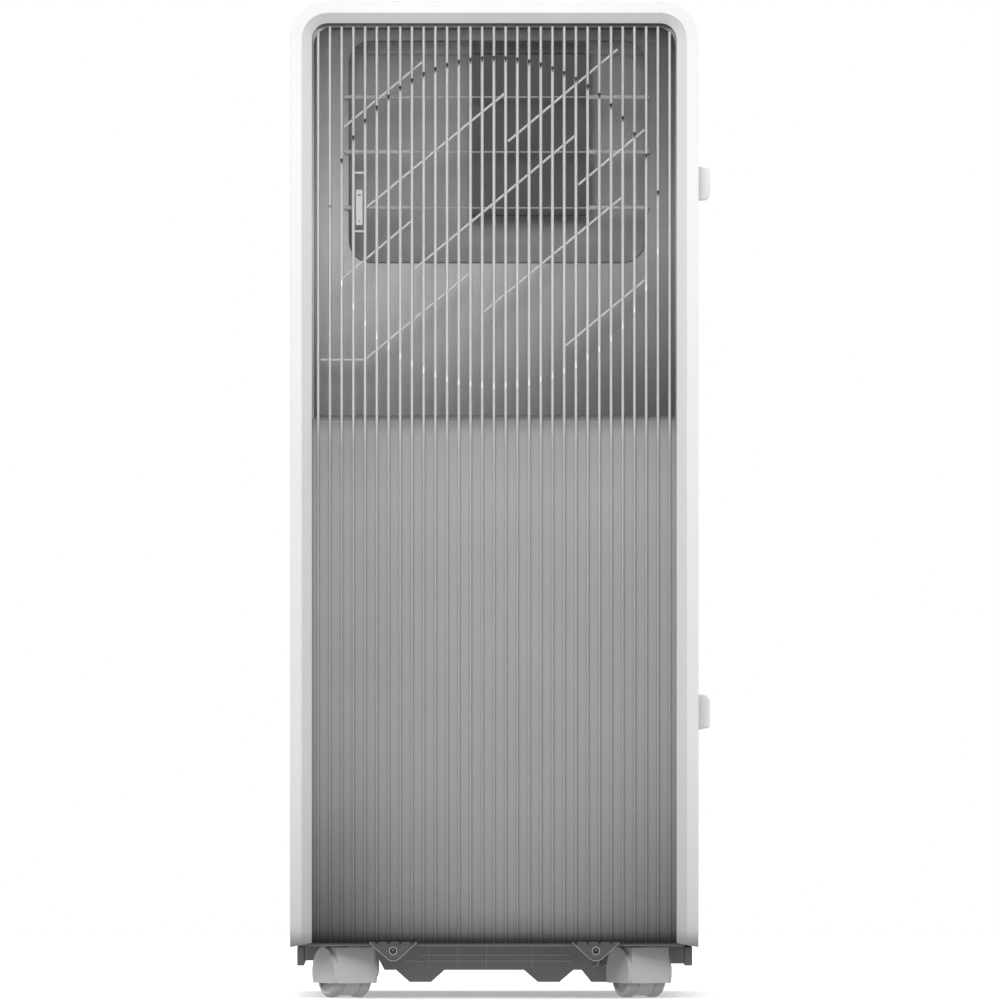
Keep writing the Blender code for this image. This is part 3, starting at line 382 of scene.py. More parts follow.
def make_materials():
    """Every finish: the record's own slots, and shades of them for single pieces."""
    for name, (tone, blue, roughness, mottling) in MOULDED.items():
        moulded_plastic(name, grey(tone, blue), roughness, mottling)
    moulded_plastic("rubber", grey(0.045, 0.0), 0.80, 0.10, 1800, 0.2)
    # The covers, side panels, plate and inner wall below carry painted light and shade by place; the plate's grey is
    # also a darker copy of the panel grey, painted shade between the bars.
    plastic_with_painted_shading("cover_white_painted_shade", grey(0.77, 0.0), 0.42, COVER_PAINTED_SHADE_RISE, variation=0.012)
    plastic_with_painted_shading("side_panel_grey", grey(0.52), 0.48, PANEL_PAINTED_SHADE_RISE, PANEL_PAINTED_SHADE_ACROSS, PANEL_PAINTED_SHADE_REACH)
    plastic_with_painted_shading("panel_valley_painted_shade", grey(0.40), 0.50, PLATE_PAINTED_SHADE_RISE, PANEL_PAINTED_SHADE_ACROSS, PANEL_PAINTED_SHADE_REACH)
    plastic_with_painted_shading("wall_grey_painted_light_and_shade", grey(0.48), 0.60, WALL_PAINTED_LIGHT_AND_SHADE_RISE, WALL_PAINTED_SHADE_ACROSS)
    # The screws' dark metal is painted shade, standing for the dark of their sunk recesses.
    metal("screw_painted_shade", (0.14, 0.14, 0.145), 0.40)
    metal("steel", (0.56, 0.56, 0.57), 0.32)
    metal("copper", (0.72, 0.36, 0.20), 0.30)
    gloss_plastic("lens_black", (0.012, 0.012, 0.014))
    striped("coil_fins", (0.62, 0.63, 0.64), (0.16, 0.16, 0.17), 0.0018, "X", 0.4, 1.0)
    striped("filter_mesh", (0.16, 0.20, 0.26), (0.03, 0.04, 0.05), 0.0016, "Z", 0.85)


# ---------------- piece helpers
def finish_mesh(mesh, material, smooth_angle):
    """Gives a mesh one material, and keeps the edges sharper than an angle crisp."""
    mesh.materials.clear()
    mesh.materials.append(MATERIALS[material])
    mesh.shade_smooth()
    mesh.set_sharp_from_angle(angle=math.radians(smooth_angle))


def place_piece(name, bm, slot, smooth_angle=35, finish=None, body="casing"):
    """Turns a bmesh into a piece that rides on a body. A finish is a shade of its slot's own."""
    mesh = bpy.data.meshes.new(name)
    bmesh.ops.recalc_face_normals(bm, faces=bm.faces)
    bm.to_mesh(mesh)
    bm.free()
    finish_mesh(mesh, finish or slot, smooth_angle)
    obj = new_object(name, mesh)
    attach(obj, body)
    return obj


def whole_faces(mesh, angle):
    """A mesh as a bmesh, with its flat faces whole again."""
    bm = bmesh.new()
    bm.from_mesh(mesh)
    bmesh.ops.remove_doubles(bm, verts=bm.verts, dist=0.000002)
    bmesh.ops.dissolve_limit(bm, angle_limit=math.radians(angle), verts=bm.verts, edges=bm.edges)
    return bm


def node_copy(node):
    """A CAD node's mesh as a bmesh."""
    return whole_faces(frame["nodes"][node].data, 1.0)


def round_edges(obj, width, segments=2, angle=32):
    """Rounds the edges that are sharper than an angle."""
    bevel = obj.modifiers.new("edge", "BEVEL")
    bevel.width = width
    bevel.segments = segments
    bevel.limit_method = "ANGLE"
    bevel.angle_limit = math.radians(angle)
    bevel.use_clamp_overlap = True
    bevel.harden_normals = True
    obj.data.shade_smooth()
    return obj


def stand_for(node, bm, finish=None, smooth_angle=35):
    """A finer piece in the place of a CAD node, on its body and with its finish."""
    obj = place_piece(node + "_fine", bm, SLOT_OF[node], smooth_angle, finish, BODY_OF[node])
    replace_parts(obj, node)
    return obj


def refined(node, width=0.0006, segments=2, angle=32, finish=None):
    """Stands for a CAD node with its edges rounded, which keeps its size and place."""
    return round_edges(stand_for(node, node_copy(node), finish), width, segments, angle)


def revolve(profile, centre, axis, steps=64, closed=False, flutes=0, flute_depth=0.0):
    """Turns a (radius, height) profile about an axis, with optional flutes round its widest part."""
    axis = Vector(axis).normalized()
    across = axis.orthogonal().normalized()
    upright = axis.cross(across)
    widest = max(radius for radius, _ in profile)
    rows = []
    for step in range(steps):
        angle = 2 * math.pi * step / steps
        ray = across * math.cos(angle) + upright * math.sin(angle)
        row = []
        for radius, height in profile:
            groove = flute_depth * (0.5 - 0.5 * math.cos(flutes * angle)) if radius > 0.96 * widest else 0.0
            row.append(Vector(centre) + axis * height + ray * (radius - groove))
        rows.append(row)
    bm = bmesh.new()
    rings = [[bm.verts.new(point) for point in row] for row in rows]
    count = len(profile)
    for first, second in zip(rings, rings[1:] + rings[:1]):
        for i in range(count if closed else count - 1):
            j = (i + 1) % count
            bm.faces.new((first[i], first[j], second[j], second[i]))
    bmesh.ops.remove_doubles(bm, verts=bm.verts, dist=0.000001)
    return bm


def rounded_profile(points, radius, steps=3, closed=False):
    """A profile with its corners rounded, apart from the ends that lie on the axis."""
    result = []
    count = len(points)
    for i, point in enumerate(points):
        if not closed and i in (0, count - 1):
            result.append(point)
            continue
        here = Vector(point)
        before, after = Vector(points[i - 1]), Vector(points[(i + 1) % count])
        cut = min(radius, (before - here).length * 0.4, (after - here).length * 0.4)
        start = here + (before - here).normalized() * cut
        end = here + (after - here).normalized() * cut
        for step in range(steps + 1):
            t = step / steps
            bend = start * (1 - t) ** 2 + here * 2 * t * (1 - t) + end * t * t
            result.append((bend.x, bend.y))
    return result


def node_centre(node):
    """The middle of a CAD node's box."""
    low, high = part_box(node)
    return (low + high) / 2


def arc(centre, radius, start, end, steps):
    """Points along an arc, between two angles in degrees."""
    angles = [math.radians(start + (end - start) * i / steps) for i in range(steps + 1)]
    return [(centre[0] + radius * math.cos(a), centre[1] + radius * math.sin(a)) for a in angles]


def loft(bm, rows, close_rows=True, cap_ends=True):
    """Joins rows of points, each with the same count, into a skin."""
    rings = [[bm.verts.new(point) for point in row] for row in rows]
    count = len(rings[0])
    for first, second in zip(rings, rings[1:]):
        for i in range(count if close_rows else count - 1):
            j = (i + 1) % count
            bm.faces.new((first[i], first[j], second[j], second[i]))
    if cap_ends:
        bm.faces.new(rings[0])
        bm.faces.new(list(reversed(rings[-1])))


def solid_box(low, high):
    """A working box between two corners."""
    bm = bmesh.new()
    made = bmesh.ops.create_cube(bm, size=1.0)["verts"]
    low, high = Vector(low), Vector(high)
    bmesh.ops.scale(bm, vec=high - low, verts=made)
    bmesh.ops.translate(bm, vec=(low + high) / 2, verts=made)
    return scratch(bm)


def solid_rod(start, end, radius, segments=64):
    """A working rod between two points."""
    start, end = Vector(start), Vector(end)
    length = (end - start).length
    return scratch(revolve([(0, length), (radius, length), (radius, 0), (0, 0)], start, end - start, segments))


def scratch(bm):
    """A working solid, which is gone once it has been baked or carved with."""
    bmesh.ops.recalc_face_normals(bm, faces=bm.faces)
    mesh = bpy.data.meshes.new("scratch")
    bm.to_mesh(mesh)
    bm.free()
    return new_object("scratch", mesh)


def carve(target, tool, operation="DIFFERENCE"):
    """Cuts the tool out of the target, or joins it on, and removes the tool."""
    modifier = target.modifiers.new("carve", "BOOLEAN")
    modifier.operation = operation
    modifier.solver = "EXACT"
    modifier.object = tool
    mesh = bpy.data.meshes.new_from_object(target.evaluated_get(bpy.context.evaluated_depsgraph_get()))
    target.modifiers.clear()
    target.data = mesh
    bpy.data.objects.remove(tool)
    return target


def baked(obj):
    """The working solid as a bmesh. Its object is removed."""
    bm = whole_faces(obj.data, 0.5)
    bpy.data.objects.remove(obj)
    return bm


def add_line(curve, points, closed):
    """Adds a line of (x, y, z) points to a curve."""
    spline = curve.splines.new("POLY")
    spline.points.add(len(points) - 1)
    for point, place in zip(spline.points, points):
        point.co = (*place, 1)
    spline.use_cyclic_u = closed


def sheet_outline(name, loops, start, end, slot, edge=0.0004, finish=None):
    """A flat (Y, Z) outline with holes and slightly rounded edges, between two places along X."""
    curve = bpy.data.curves.new(name, "CURVE")
    curve.dimensions = "2D"
    curve.fill_mode = "BOTH"
    curve.extrude = abs(end - start) / 2 - edge
    curve.bevel_depth = edge
    curve.bevel_resolution = 1
    curve.offset = -edge
    for loop in loops:
        add_line(curve, [(u, v, 0) for u, v in loop], True)
    guide = new_object(name + "_guide", curve)
    mesh = bpy.data.meshes.new_from_object(guide.evaluated_get(bpy.context.evaluated_depsgraph_get()))
    bpy.data.objects.remove(guide)
    bm = bmesh.new()
    bm.from_mesh(mesh)
    bmesh.ops.remove_doubles(bm, verts=bm.verts, dist=0.00001)
    sideways = Matrix(((0, 0, 1, (start + end) / 2), (1, 0, 0, 0), (0, 1, 0, 0), (0, 0, 0, 1)))
    bm.transform(sideways)
    return place_piece(name, bm, slot, finish=finish)


def wire(name, lines, radius, slot, closed=False, resolution=3, finish=None, body="casing"):
    """Round wire along one or more lines of points."""
    curve = bpy.data.curves.new(name, "CURVE")
    curve.dimensions = "3D"
    curve.bevel_depth = radius
    curve.bevel_resolution = resolution
    curve.use_fill_caps = True
    for line in lines:
        add_line(curve, line, closed)
    curve.materials.append(MATERIALS[finish or slot])
    obj = new_object(name, curve)
    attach(obj, body)
    return obj


# ---------------- side panels
BAR_COUNT = 31
BAR_PITCH = 0.009376
BAR_MIDDLE_Y = -0.00486
BAR_TIP = 0.00085           # half width of a bar at its outer face
BAR_DRAFT = 0.045           # how much wider it gets per unit of depth, on each side
BAR_END_R = 0.002           # rounding of a bar's upper end
END_BAR_TOP = 0.7742        # the two outermost bars stop short of the rounded corners
PANEL_BOTTOM = 0.0446
PANEL_TOP = 0.7782
FOOT_HEIGHT = 0.017         # the foot of the panel curves in over this height
FOOT_REACH = 0.0062
DISH_CENTRE = (-0.004, 0.621)
DISH_RADIUS = 0.1328
DISH_RIM = DISH_RADIUS + 0.0005
DISH_EDGE = 0.0058
DISH_DEPTH = 0.0042
DISH_PAINTED_SHADOW_AND_GLINT = {              # Painted shadow and glint where each bar steps into the dish, as (rise out of the ring, half width) along a mark, with its finish
    "painted_shadow": ("rubber", ((0.0006, 0.00075), (0.0001, 0.00105), (-0.0012, 0.00095), (-0.0030, 0.00045),
                         (-0.0042, 0.0002))),
    "painted_glint": ("casing_white", ((0.0004, 0.0002), (-0.0002, 0.00065), (-0.0022, 0.00060), (-0.0040, 0.0005),
                                 (-0.0052, 0.0002))),
}
GRILLE_BOTTOM = 0.455
PLATE_TOP = 0.4660
TABS_Y = (-0.0856, 0.0768)
TAB_Z = 0.038


def bar_y(index):
    """The middle of a bar, counted from the front."""
    return BAR_MIDDLE_Y + (index - (BAR_COUNT - 1) / 2) * BAR_PITCH


class PanelShape:
    """Distances from the middle plane of the machine, read from the CAD panel."""

    def __init__(self, side, word):
        low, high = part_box("side_panel_" + word)
        self.side, self.word = side, word
        self.outer = max(abs(low.x), abs(high.x))
        self.back = min(abs(low.x), abs(high.x))
        self.front_y, self.back_y = low.y, high.y

    def bottom_tuck(self, z):
        """How far the panel curves in at its foot."""
        rise = max(0.0, min(1.0, (PANEL_BOTTOM + FOOT_HEIGHT - z) / FOOT_HEIGHT))
        return FOOT_REACH * (1 - math.sqrt(1 - rise * rise))

    def dish_drop(self, y, z):
        """How far the bars are set back inside the round dish, with a sloped edge."""
        distance = math.hypot(y - DISH_CENTRE[0], z - DISH_CENTRE[1])
        t = max(0.0, min(1.0, (DISH_RIM - distance) / DISH_EDGE))
        return DISH_DEPTH * (1 - (1 - t) * (1 - t))

    def bar_outer(self, index, z):
        """Where a bar's outer face lies at a height, just inside the CAD panel's face."""
        inset, rounding = 0.0001, 0.0
        into_end = (z - (bar_top(index) - BAR_END_R)) / BAR_END_R
        if into_end > 0:
            rounding = BAR_END_R * (1 - math.sqrt(max(0.0, 1 - into_end * into_end)))
        return self.outer - inset - self.dish_drop(bar_y(index), z) - self.bottom_tuck(z) - rounding


def bar_top(index):
    """The height of a bar's upper end."""
    return END_BAR_TOP if index in (0, BAR_COUNT - 1) else PANEL_TOP


def foot_heights(steps):
    """Heights up the curved foot of the panel, close together at its bottom."""
    return [PANEL_BOTTOM + FOOT_HEIGHT * (1 - math.cos(math.pi / 2 * i / steps)) for i in range(steps + 1)]


def bar_heights(index):
    """The rows a bar needs: close together only at its ends and where it crosses the dish's edge."""
    heights = foot_heights(7) + [0.25]
    offset = bar_y(index) - DISH_CENTRE[0]
    for share in (0, 0.02, 0.2, 0.4, 0.65, 1):
        radius = DISH_RIM - DISH_EDGE * share
        if abs(offset) < radius:
            half = math.sqrt(radius * radius - offset * offset)
            heights += [DISH_CENTRE[1] - half, DISH_CENTRE[1] + half]
    heights += [bar_top(index) - BAR_END_R * (1 - math.sin(math.pi / 2 * i / 4)) for i in range(5)]
    return sorted(set(round(h, 6) for h in heights))


def make_bars(panel):
    """The panel's upright bars, each drafted and slightly chamfered. They stand for the whole CAD panel."""
    bm = bmesh.new()
    foot = panel.back + 0.001
    for index in range(BAR_COUNT):
        y = bar_y(index)
        rows = []
        for z in bar_heights(index):
            outer = panel.bar_outer(index, z)
            tip = BAR_TIP + (panel.outer - outer) * BAR_DRAFT
            root = BAR_TIP + (panel.outer - foot) * BAR_DRAFT
            inner = foot - min(panel.bottom_tuck(z), 0.0012)
            outline = [(inner, y - root), (outer - 0.0007, y - tip), (outer - 0.0002, y - tip + 0.00025),
                       (outer, y), (outer - 0.0002, y + tip - 0.00025), (outer - 0.0007, y + tip), (inner, y + root)]
            rows.append([(panel.side * x, across, z) for x, across in outline])
        loft(bm, rows)
    # The bars' grey carries painted shade: darker below the grille, towards the foot, and in the lower part towards
    # the front and rear edges.
    bars = place_piece("panel_bars_" + panel.word, bm, "side_panel_grey", 50)
    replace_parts(bars, "side_panel_" + panel.word)


def paint_dish_shadow_and_glint(panel):
    """Where each bar steps into the dish: a small dark piece of painted shadow at the upper arc, and a small white
    piece of painted glint at the lower one.
    """
    lift, depth, shoulder = 0.00012, 0.0012, 0.0003
    for kind, (finish, profile) in DISH_PAINTED_SHADOW_AND_GLINT.items():
        way = 1 if kind == "painted_shadow" else -1
        bm = bmesh.new()
        for index in range(BAR_COUNT):
            y = bar_y(index)
            offset = y - DISH_CENTRE[0]
            if abs(offset) > DISH_RADIUS - 0.0005:
                continue
            edge = DISH_CENTRE[1] + way * math.sqrt(DISH_RADIUS ** 2 - offset ** 2)
            rows = []
            for rise, half in profile:
                z = edge + way * rise
                face = panel.bar_outer(index, z) + lift
                section = [(face - depth, -half), (face - shoulder, -half), (face, -half * 0.6), (face, half * 0.6),
                           (face - shoulder, half), (face - depth, half)]
                rows.append([(panel.side * x, y + across, z) for x, across in section])
            loft(bm, rows)
        place_piece("panel_bar_%s_%s" % (panel.word, kind), bm, "side_panel_grey", 60, finish)


def make_plate(panel):
    """The solid lower half between the bars: it curves in at its foot, and rolls inwards at its top."""
    lip = 0.0060
    valley = panel.outer - 0.0060
    rows = []
    for z in foot_heights(8) + [0.15, 0.25, 0.35, PLATE_TOP - lip]:
        rows.append((valley - 0.85 * panel.bottom_tuck(z), z))
    for i in range(1, 9):
        angle = math.radians(90 * i / 8)
        rows.append((valley - lip * (1 - math.cos(angle)), PLATE_TOP - lip + lip * math.sin(angle)))
    rows.append((valley - lip - 0.004, PLATE_TOP))
    columns = [panel.front_y + (panel.back_y - panel.front_y) * i / 40 for i in range(41)]
    bm = bmesh.new()
    loft(bm, [[(panel.side * x, y, z) for y in columns] for x, z in rows], close_rows=False, cap_ends=False)
    # The plate's grey is a darker copy of the panel's, painted shade, and darkens further by place.
    plate = place_piece("panel_plate_" + panel.word, bm, "side_panel_grey", 60, "panel_valley_painted_shade")
    shell = plate.modifiers.new("wall", "SOLIDIFY")
    shell.thickness = 0.0016
    shell.offset = 0


def arch(y0, y1, foot, head, radius):
    """An outline with square lower corners and round upper ones."""
    return ([(y0, foot), (y1, foot)] + arc((y1 - radius, head - radius), radius, 0, 90, 8)
            + arc((y0 + radius, head - radius), radius, 90, 180, 8))


def make_frame_ring(panel):
    """The panel's own border round the open grille."""
    outer = arch(panel.front_y, panel.back_y, GRILLE_BOTTOM - 0.004, 0.792, 0.0244)
    inner = arch(panel.front_y + 0.0130, panel.back_y - 0.0128, GRILLE_BOTTOM, 0.7770, 0.013)
    # The border's grey carries painted light and shade by height and depth.
    sheet_outline("panel_border_" + panel.word, [outer, inner], panel.side * panel.back,
                  panel.side * (panel.outer - 0.0062), "side_panel_grey", finish="wall_grey_painted_light_and_shade")


def rib_runs():
    """The diagonal stiffeners behind the bars, and two short ties by the sensor, as their ends (Y, Z)."""
    return [((-0.1249, 0.6975), (-0.0618, 0.7500)), ((-0.1073, 0.6329), (0.0042, 0.7248)),
            ((-0.1259, 0.5765), (-0.0707, 0.6226)), ((-0.1434, 0.5112), (-0.1083, 0.5112)),
            ((-0.1083, 0.5112), (-0.0246, 0.5802)), ((-0.0681, 0.5843), (0.0601, 0.6907)),
            ((0.0063, 0.6860), (0.0942, 0.7599)), ((0.0627, 0.6514), (0.1158, 0.6954)),
            ((-0.0129, 0.5496), (0.0973, 0.6411)), ((0.0528, 0.5227), (0.1158, 0.5750)),
            ((bar_y(3), 0.6610), (bar_y(4), 0.6610)), ((bar_y(3), 0.6141), (bar_y(4), 0.6141))]


def make_ribs(panel):
    """The stiffeners as thin ribs, a little narrower at their outer edge."""
    bm = bmesh.new()
    near, far = panel.back + 0.0018, panel.back + 0.0058
    section = ((near, 0.0010), (far - 0.0004, 0.0009), (far, 0.0005))
    for start, end in rib_runs():
        run = (Vector(end) - Vector(start)).normalized()
        across = Vector((-run.y, run.x))
        rows = []
        for place in (Vector(start), Vector(end)):
            skin = ([(x, place - across * half) for x, half in section]
                    + [(x, place + across * half) for x, half in reversed(section)])
            rows.append([(panel.side * x, point.x, point.y) for x, point in skin])
        loft(bm, rows)
    place_piece("panel_ribs_" + panel.word, bm, "side_panel_grey", finish="rib_grey")


def tab_outline(y):
    """A V-shaped screw tab under the panel, with a round apex, from its front shoulder to its rear one."""
    reach, apex = 0.019, 0.008
    drop = PANEL_BOTTOM - TAB_Z
    tangent = math.degrees(math.atan2(drop, reach) - math.acos(apex / math.hypot(drop, reach)))
    return ([(y - reach, PANEL_BOTTOM)] + arc((y, TAB_Z), apex, -180 - tangent, tangent, 10)
            + [(y + reach, PANEL_BOTTOM)])


def make_tabs(panel):
    """The two screw tabs, each with a raised border, and a boss and a sunk cross-head screw in it."""
    behind, screw_sink, hole_r = 0.0008, 0.0008, 0.0024
    side, face = panel.side, panel.back + 0.0045
    boss = rounded_profile([(0.0026, -0.001), (0.0026, 0.0005), (0.0033, 0.0005), (0.0033, -0.001)], 0.0003,
                           closed=True)
    for (number, y), place in zip(enumerate(TABS_Y), ("front", "rear")):
        outline = tab_outline(y)
        hidden = [(outline[-1][0], outline[-1][1] + behind), (outline[0][0], outline[0][1] + behind)]
        hole = arc((y, TAB_Z), hole_r, 360, 15, 23)
        label = "panel_tab_%s_%d" % (panel.word, number + 1)
        sheet_outline(label, [outline + hidden, hole], side * panel.back, side * face, "side_panel_grey",
                      finish="tab_dark")
        border = [(side * face, u, v) for u, v in outline]
        wire(label + "_rim", [border], 0.00045, "side_panel_grey", finish="skirt_grey")
        ring = revolve(boss, (side * face, y, TAB_Z), (side, 0, 0), 32, True)
        place_piece(label + "_boss", ring, "side_panel_grey", 50, "rib_grey")
        make_screw("screw_%s_%s" % (panel.word, place), (side * (face - screw_sink), y, TAB_Z), side)


def make_screw(node, centre, side):
    """A pan-head screw with a cross recess cut in its crown."""
    profile = rounded_profile([(0, 0.0009), (0.0015, 0.0008), (0.0022, 0), (0.0014, -0.0002), (0.0013, -0.011),
                               (0, -0.0125)], 0.0004)
    head = scratch(revolve(profile, centre, (side, 0, 0), 24))
    half, arm = 0.00022, 0.0011
    x0, x1 = sorted((0, side * 0.003))
    for dy, dz in ((arm, half), (half, arm)):
        carve(head, solid_box(Vector((x0, -dy, -dz)) + Vector(centre), Vector((x1, dy, dz)) + Vector(centre)))
    # The screw's dark metal is painted shade for its sunk recess.
    stand_for(node, baked(head), "screw_painted_shade")


def make_side_panels():
    """Each panel as its bars, the plate between them, painted shadow and glint at the dish, border, ribs and screw
    tabs.
    """
    for side, word in SIDES:
        panel = PanelShape(side, word)
        for make in (make_bars, make_plate, paint_dish_shadow_and_glint, make_frame_ring, make_ribs, make_tabs):
            make(panel)


# ---------------- covers and base
def make_covers():
    """The white band. Its two uprights curve in a little at the foot, and its seams are closed edge to edge."""
    foot_reach, foot_depth, rim, seam, touching = 0.016, 0.0036, 0.010, 0.00014, 0.00002
    for node in ("front_cover", "top_cover", "rear_cover"):
        bm = node_copy(node)
        low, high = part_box(node)
        outer = high.x
        ends = {"front_cover": (high.y,), "rear_cover": (low.y,), "top_cover": (low.y, high.y)}[node]
        if node != "top_cover":
            for rise in (0.0056, 0.0082, 0.0112, foot_reach):
                geometry = bm.verts[:] + bm.edges[:] + bm.faces[:]
                bmesh.ops.bisect_plane(bm, geom=geometry, plane_co=(0, 0, low.z + rise), plane_no=(0, 0, 1))
            for vert in bm.verts:
                fall = max(0.0, low.z + foot_reach - vert.co.z) / foot_reach
                share = max(0.0, min(1.0, (abs(vert.co.x) - (outer - rim)) / rim))
                tuck = foot_depth * (1 - math.sqrt(1 - fall * fall)) * share
                vert.co.x -= math.copysign(tuck, vert.co.x)
        weight = bm.edges.layers.float.new("bevel_weight_edge")
        for edge in bm.edges:
            at_seam = any(all(abs(vert.co.y - end) < touching for vert in edge.verts) for end in ends)
            sharp = len(edge.link_faces) == 2 and edge.calc_face_angle(0) > math.radians(32)
            edge[weight] = 1.0 if sharp and not at_seam else 0.0
        for vert in bm.verts:
            for end in ends:
                if abs(vert.co.y - end) < touching:
                    vert.co.y += seam if end == high.y else -seam
        # The covers' white carries painted shade, darker towards the foot.
        cover = round_edges(stand_for(node, bm, "cover_white_painted_shade"), 0.00045, 3)
        cover.modifiers["edge"].limit_method = "WEIGHT"


def make_base():
    """The base tray, and on each side of its sump two ledges, four ribs and a row of slanted fins."""
    refined("base_tray", 0.0007)
    for node in ("front_skirt", "rear_skirt"):
        refined(node, 0.0006)
    half, turn_in = 0.112, 0.001
    for side, word in SIDES:
        face = side * half
        for number, (start, end, z) in enumerate(((-0.064, 0.056, 0.0338), (-0.078, 0.058, 0.0288))):
            points = [(face, start, z - turn_in), (face, start + turn_in, z), (face, end - turn_in, z),
                      (face, end, z - turn_in)]
            wire("base_ledge_%s_%d" % (word, number + 1), [points], 0.0006, "base_dark", finish="rib_grey")
        for number, y in enumerate((-0.057, -0.034, -0.011, 0.026)):
            points = [(face, y, 0.0232), (face, y, 0.0405)]
            wire("base_rib_%s_%d" % (word, number + 1), [points], 0.0005, "base_dark", finish="rib_grey")
        for number in range(4):
            y = 0.0745 + 0.0078 * number
            fin = [(y, 0.0228), (y + 0.0052, 0.0255), (y + 0.0062, 0.0345), (y + 0.0066, 0.0405),
                   (y + 0.0054, 0.0405), (y + 0.0046, 0.0345), (y + 0.0034, 0.0262), (y, 0.0242)]
            sheet_outline("base_fin_%s_%d" % (word, number + 1), [fin], face, face + side * 0.0035, "base_dark",
                          0.0002, "rib_grey")


# ---------------- casters
WHEEL_R = 0.018
HOOD_R = 0.0203
FORK_WEB = 0.0068           # half width of the web between the two wheels
FORK_CHEEK = 0.0176         # from the middle to the inside of a cheek
AXLE_R = 0.0028


def make_fork_bmesh(trail):
    """The hooded fork in its own frame: stem on the Z axis, axle along X, wheels trailing along -Y."""
    hood_half, hood_bottom, front_half = 0.01935, 0.0117, 0.0165
    axle = Vector((0, -trail, WHEEL_R))
    hood = Vector((0, -trail, HOOD_R))
    along = Vector((1, 0, 0))
    fork = solid_rod(hood - along * hood_half, hood + along * hood_half, HOOD_R, 72)
    carve(fork, solid_box((-front_half, -trail, 0.005), (front_half, HOOD_R - trail, 2 * HOOD_R - 0.0002)), "UNION")
    carve(fork, solid_rod((0, 0, 0.0255), (0, 0, 0.0411), 0.0075, 40), "UNION")
    carve(fork, solid_rod((0, 0, 0.0305), (0, 0, 0.053), 0.004, 32), "UNION")
    carve(fork, solid_box((-0.03, -0.06, -0.01), (0.03, 0.06, hood_bottom)))
    for side in (1, -1):
        carve(fork, solid_rod(axle + along * side * FORK_WEB, axle + along * side * FORK_CHEEK, WHEEL_R + 0.0005, 72))
    carve(fork, solid_rod(axle - along * FORK_WEB, axle + along * FORK_WEB, WHEEL_R - 0.0015, 72), "UNION")
    reach = FORK_CHEEK + 0.0008
    carve(fork, solid_rod(axle - along * reach, axle + along * reach, AXLE_R, 32), "UNION")
    return baked(fork)


def wheel_profile():
    """A wheel's section: a crowned tread, and a dished outer face with a hub round the axle."""
    side_gap, bore_gap, tyre, crown = 0.0006, 0.0003, 0.0022, 0.0002
    half = (FORK_CHEEK - FORK_WEB) / 2 - side_gap
    return [(WHEEL_R - tyre, half), (WHEEL_R - crown, half - tyre), (WHEEL_R, 0.0),
            (WHEEL_R - crown, -half + 0.0012), (WHEEL_R - 0.0012, -half), (AXLE_R + bore_gap, -half),
            (AXLE_R + bore_gap, half - 0.0008), (0.0065, half - 0.0008), (0.0072, half - 0.0022),
            (WHEEL_R - tyre - 0.0028, half - 0.0022), (WHEEL_R - tyre - 0.0020, half)]


def make_casters():
    """Four forks and eight wheels, each fork turned the way the record's joints have it."""
    joints = {joint["name"]: joint for joint in RECORD["behaviour"]["joints"]}
    profile = rounded_profile(wheel_profile(), 0.0007, 3, True)
    for row in ("front", "rear"):
        for word in ("right", "left"):
            name = "caster_%s_%s" % (row, word)
            roll = joints[name + "_wheel_a_roll"]
            pivot = Vector(joints[name + "_swivel"]["pos_m"])
            axle = Vector(roll["pos_m"])
            turn = math.atan2(roll["axis"][1], roll["axis"][0])
            trail = (axle.xy - pivot.xy).length
            fork = make_fork_bmesh(trail)
            fork.transform(Matrix.Translation((pivot.x, pivot.y, 0)) @ Matrix.Rotation(turn, 4, "Z"))
            round_edges(stand_for(name + "_fork", fork), 0.0006, 3, 30)
            for letter, side in (("a", 1), ("b", -1)):
                node = "%s_wheel_%s" % (name, letter)
                wheel = revolve(profile, node_centre(node), Vector(roll["axis"]) * side, 72, True)
                stand_for(node, wheel, smooth_angle=50)


# ---------------- behind the grilles
WINDOW_Y = (-0.1208, 0.116)
WINDOW_Z = (0.5892, 0.7668)
WINDOW_R = 0.0176
RAILS_Z = (0.722, 0.678, 0.6332)


def rounded_rectangle(low, high, radius, steps=10):
    """An outline with four round corners, between two corner points."""
    (u0, v0), (u1, v1) = low, high
    return (arc((u1 - radius, v0 + radius), radius, -90, 0, steps)
            + arc((u1 - radius, v1 - radius), radius, 0, 90, steps)
            + arc((u0 + radius, v1 - radius), radius, 90, 180, steps)
            + arc((u0 + radius, v0 + radius), radius, 180, 270, steps))


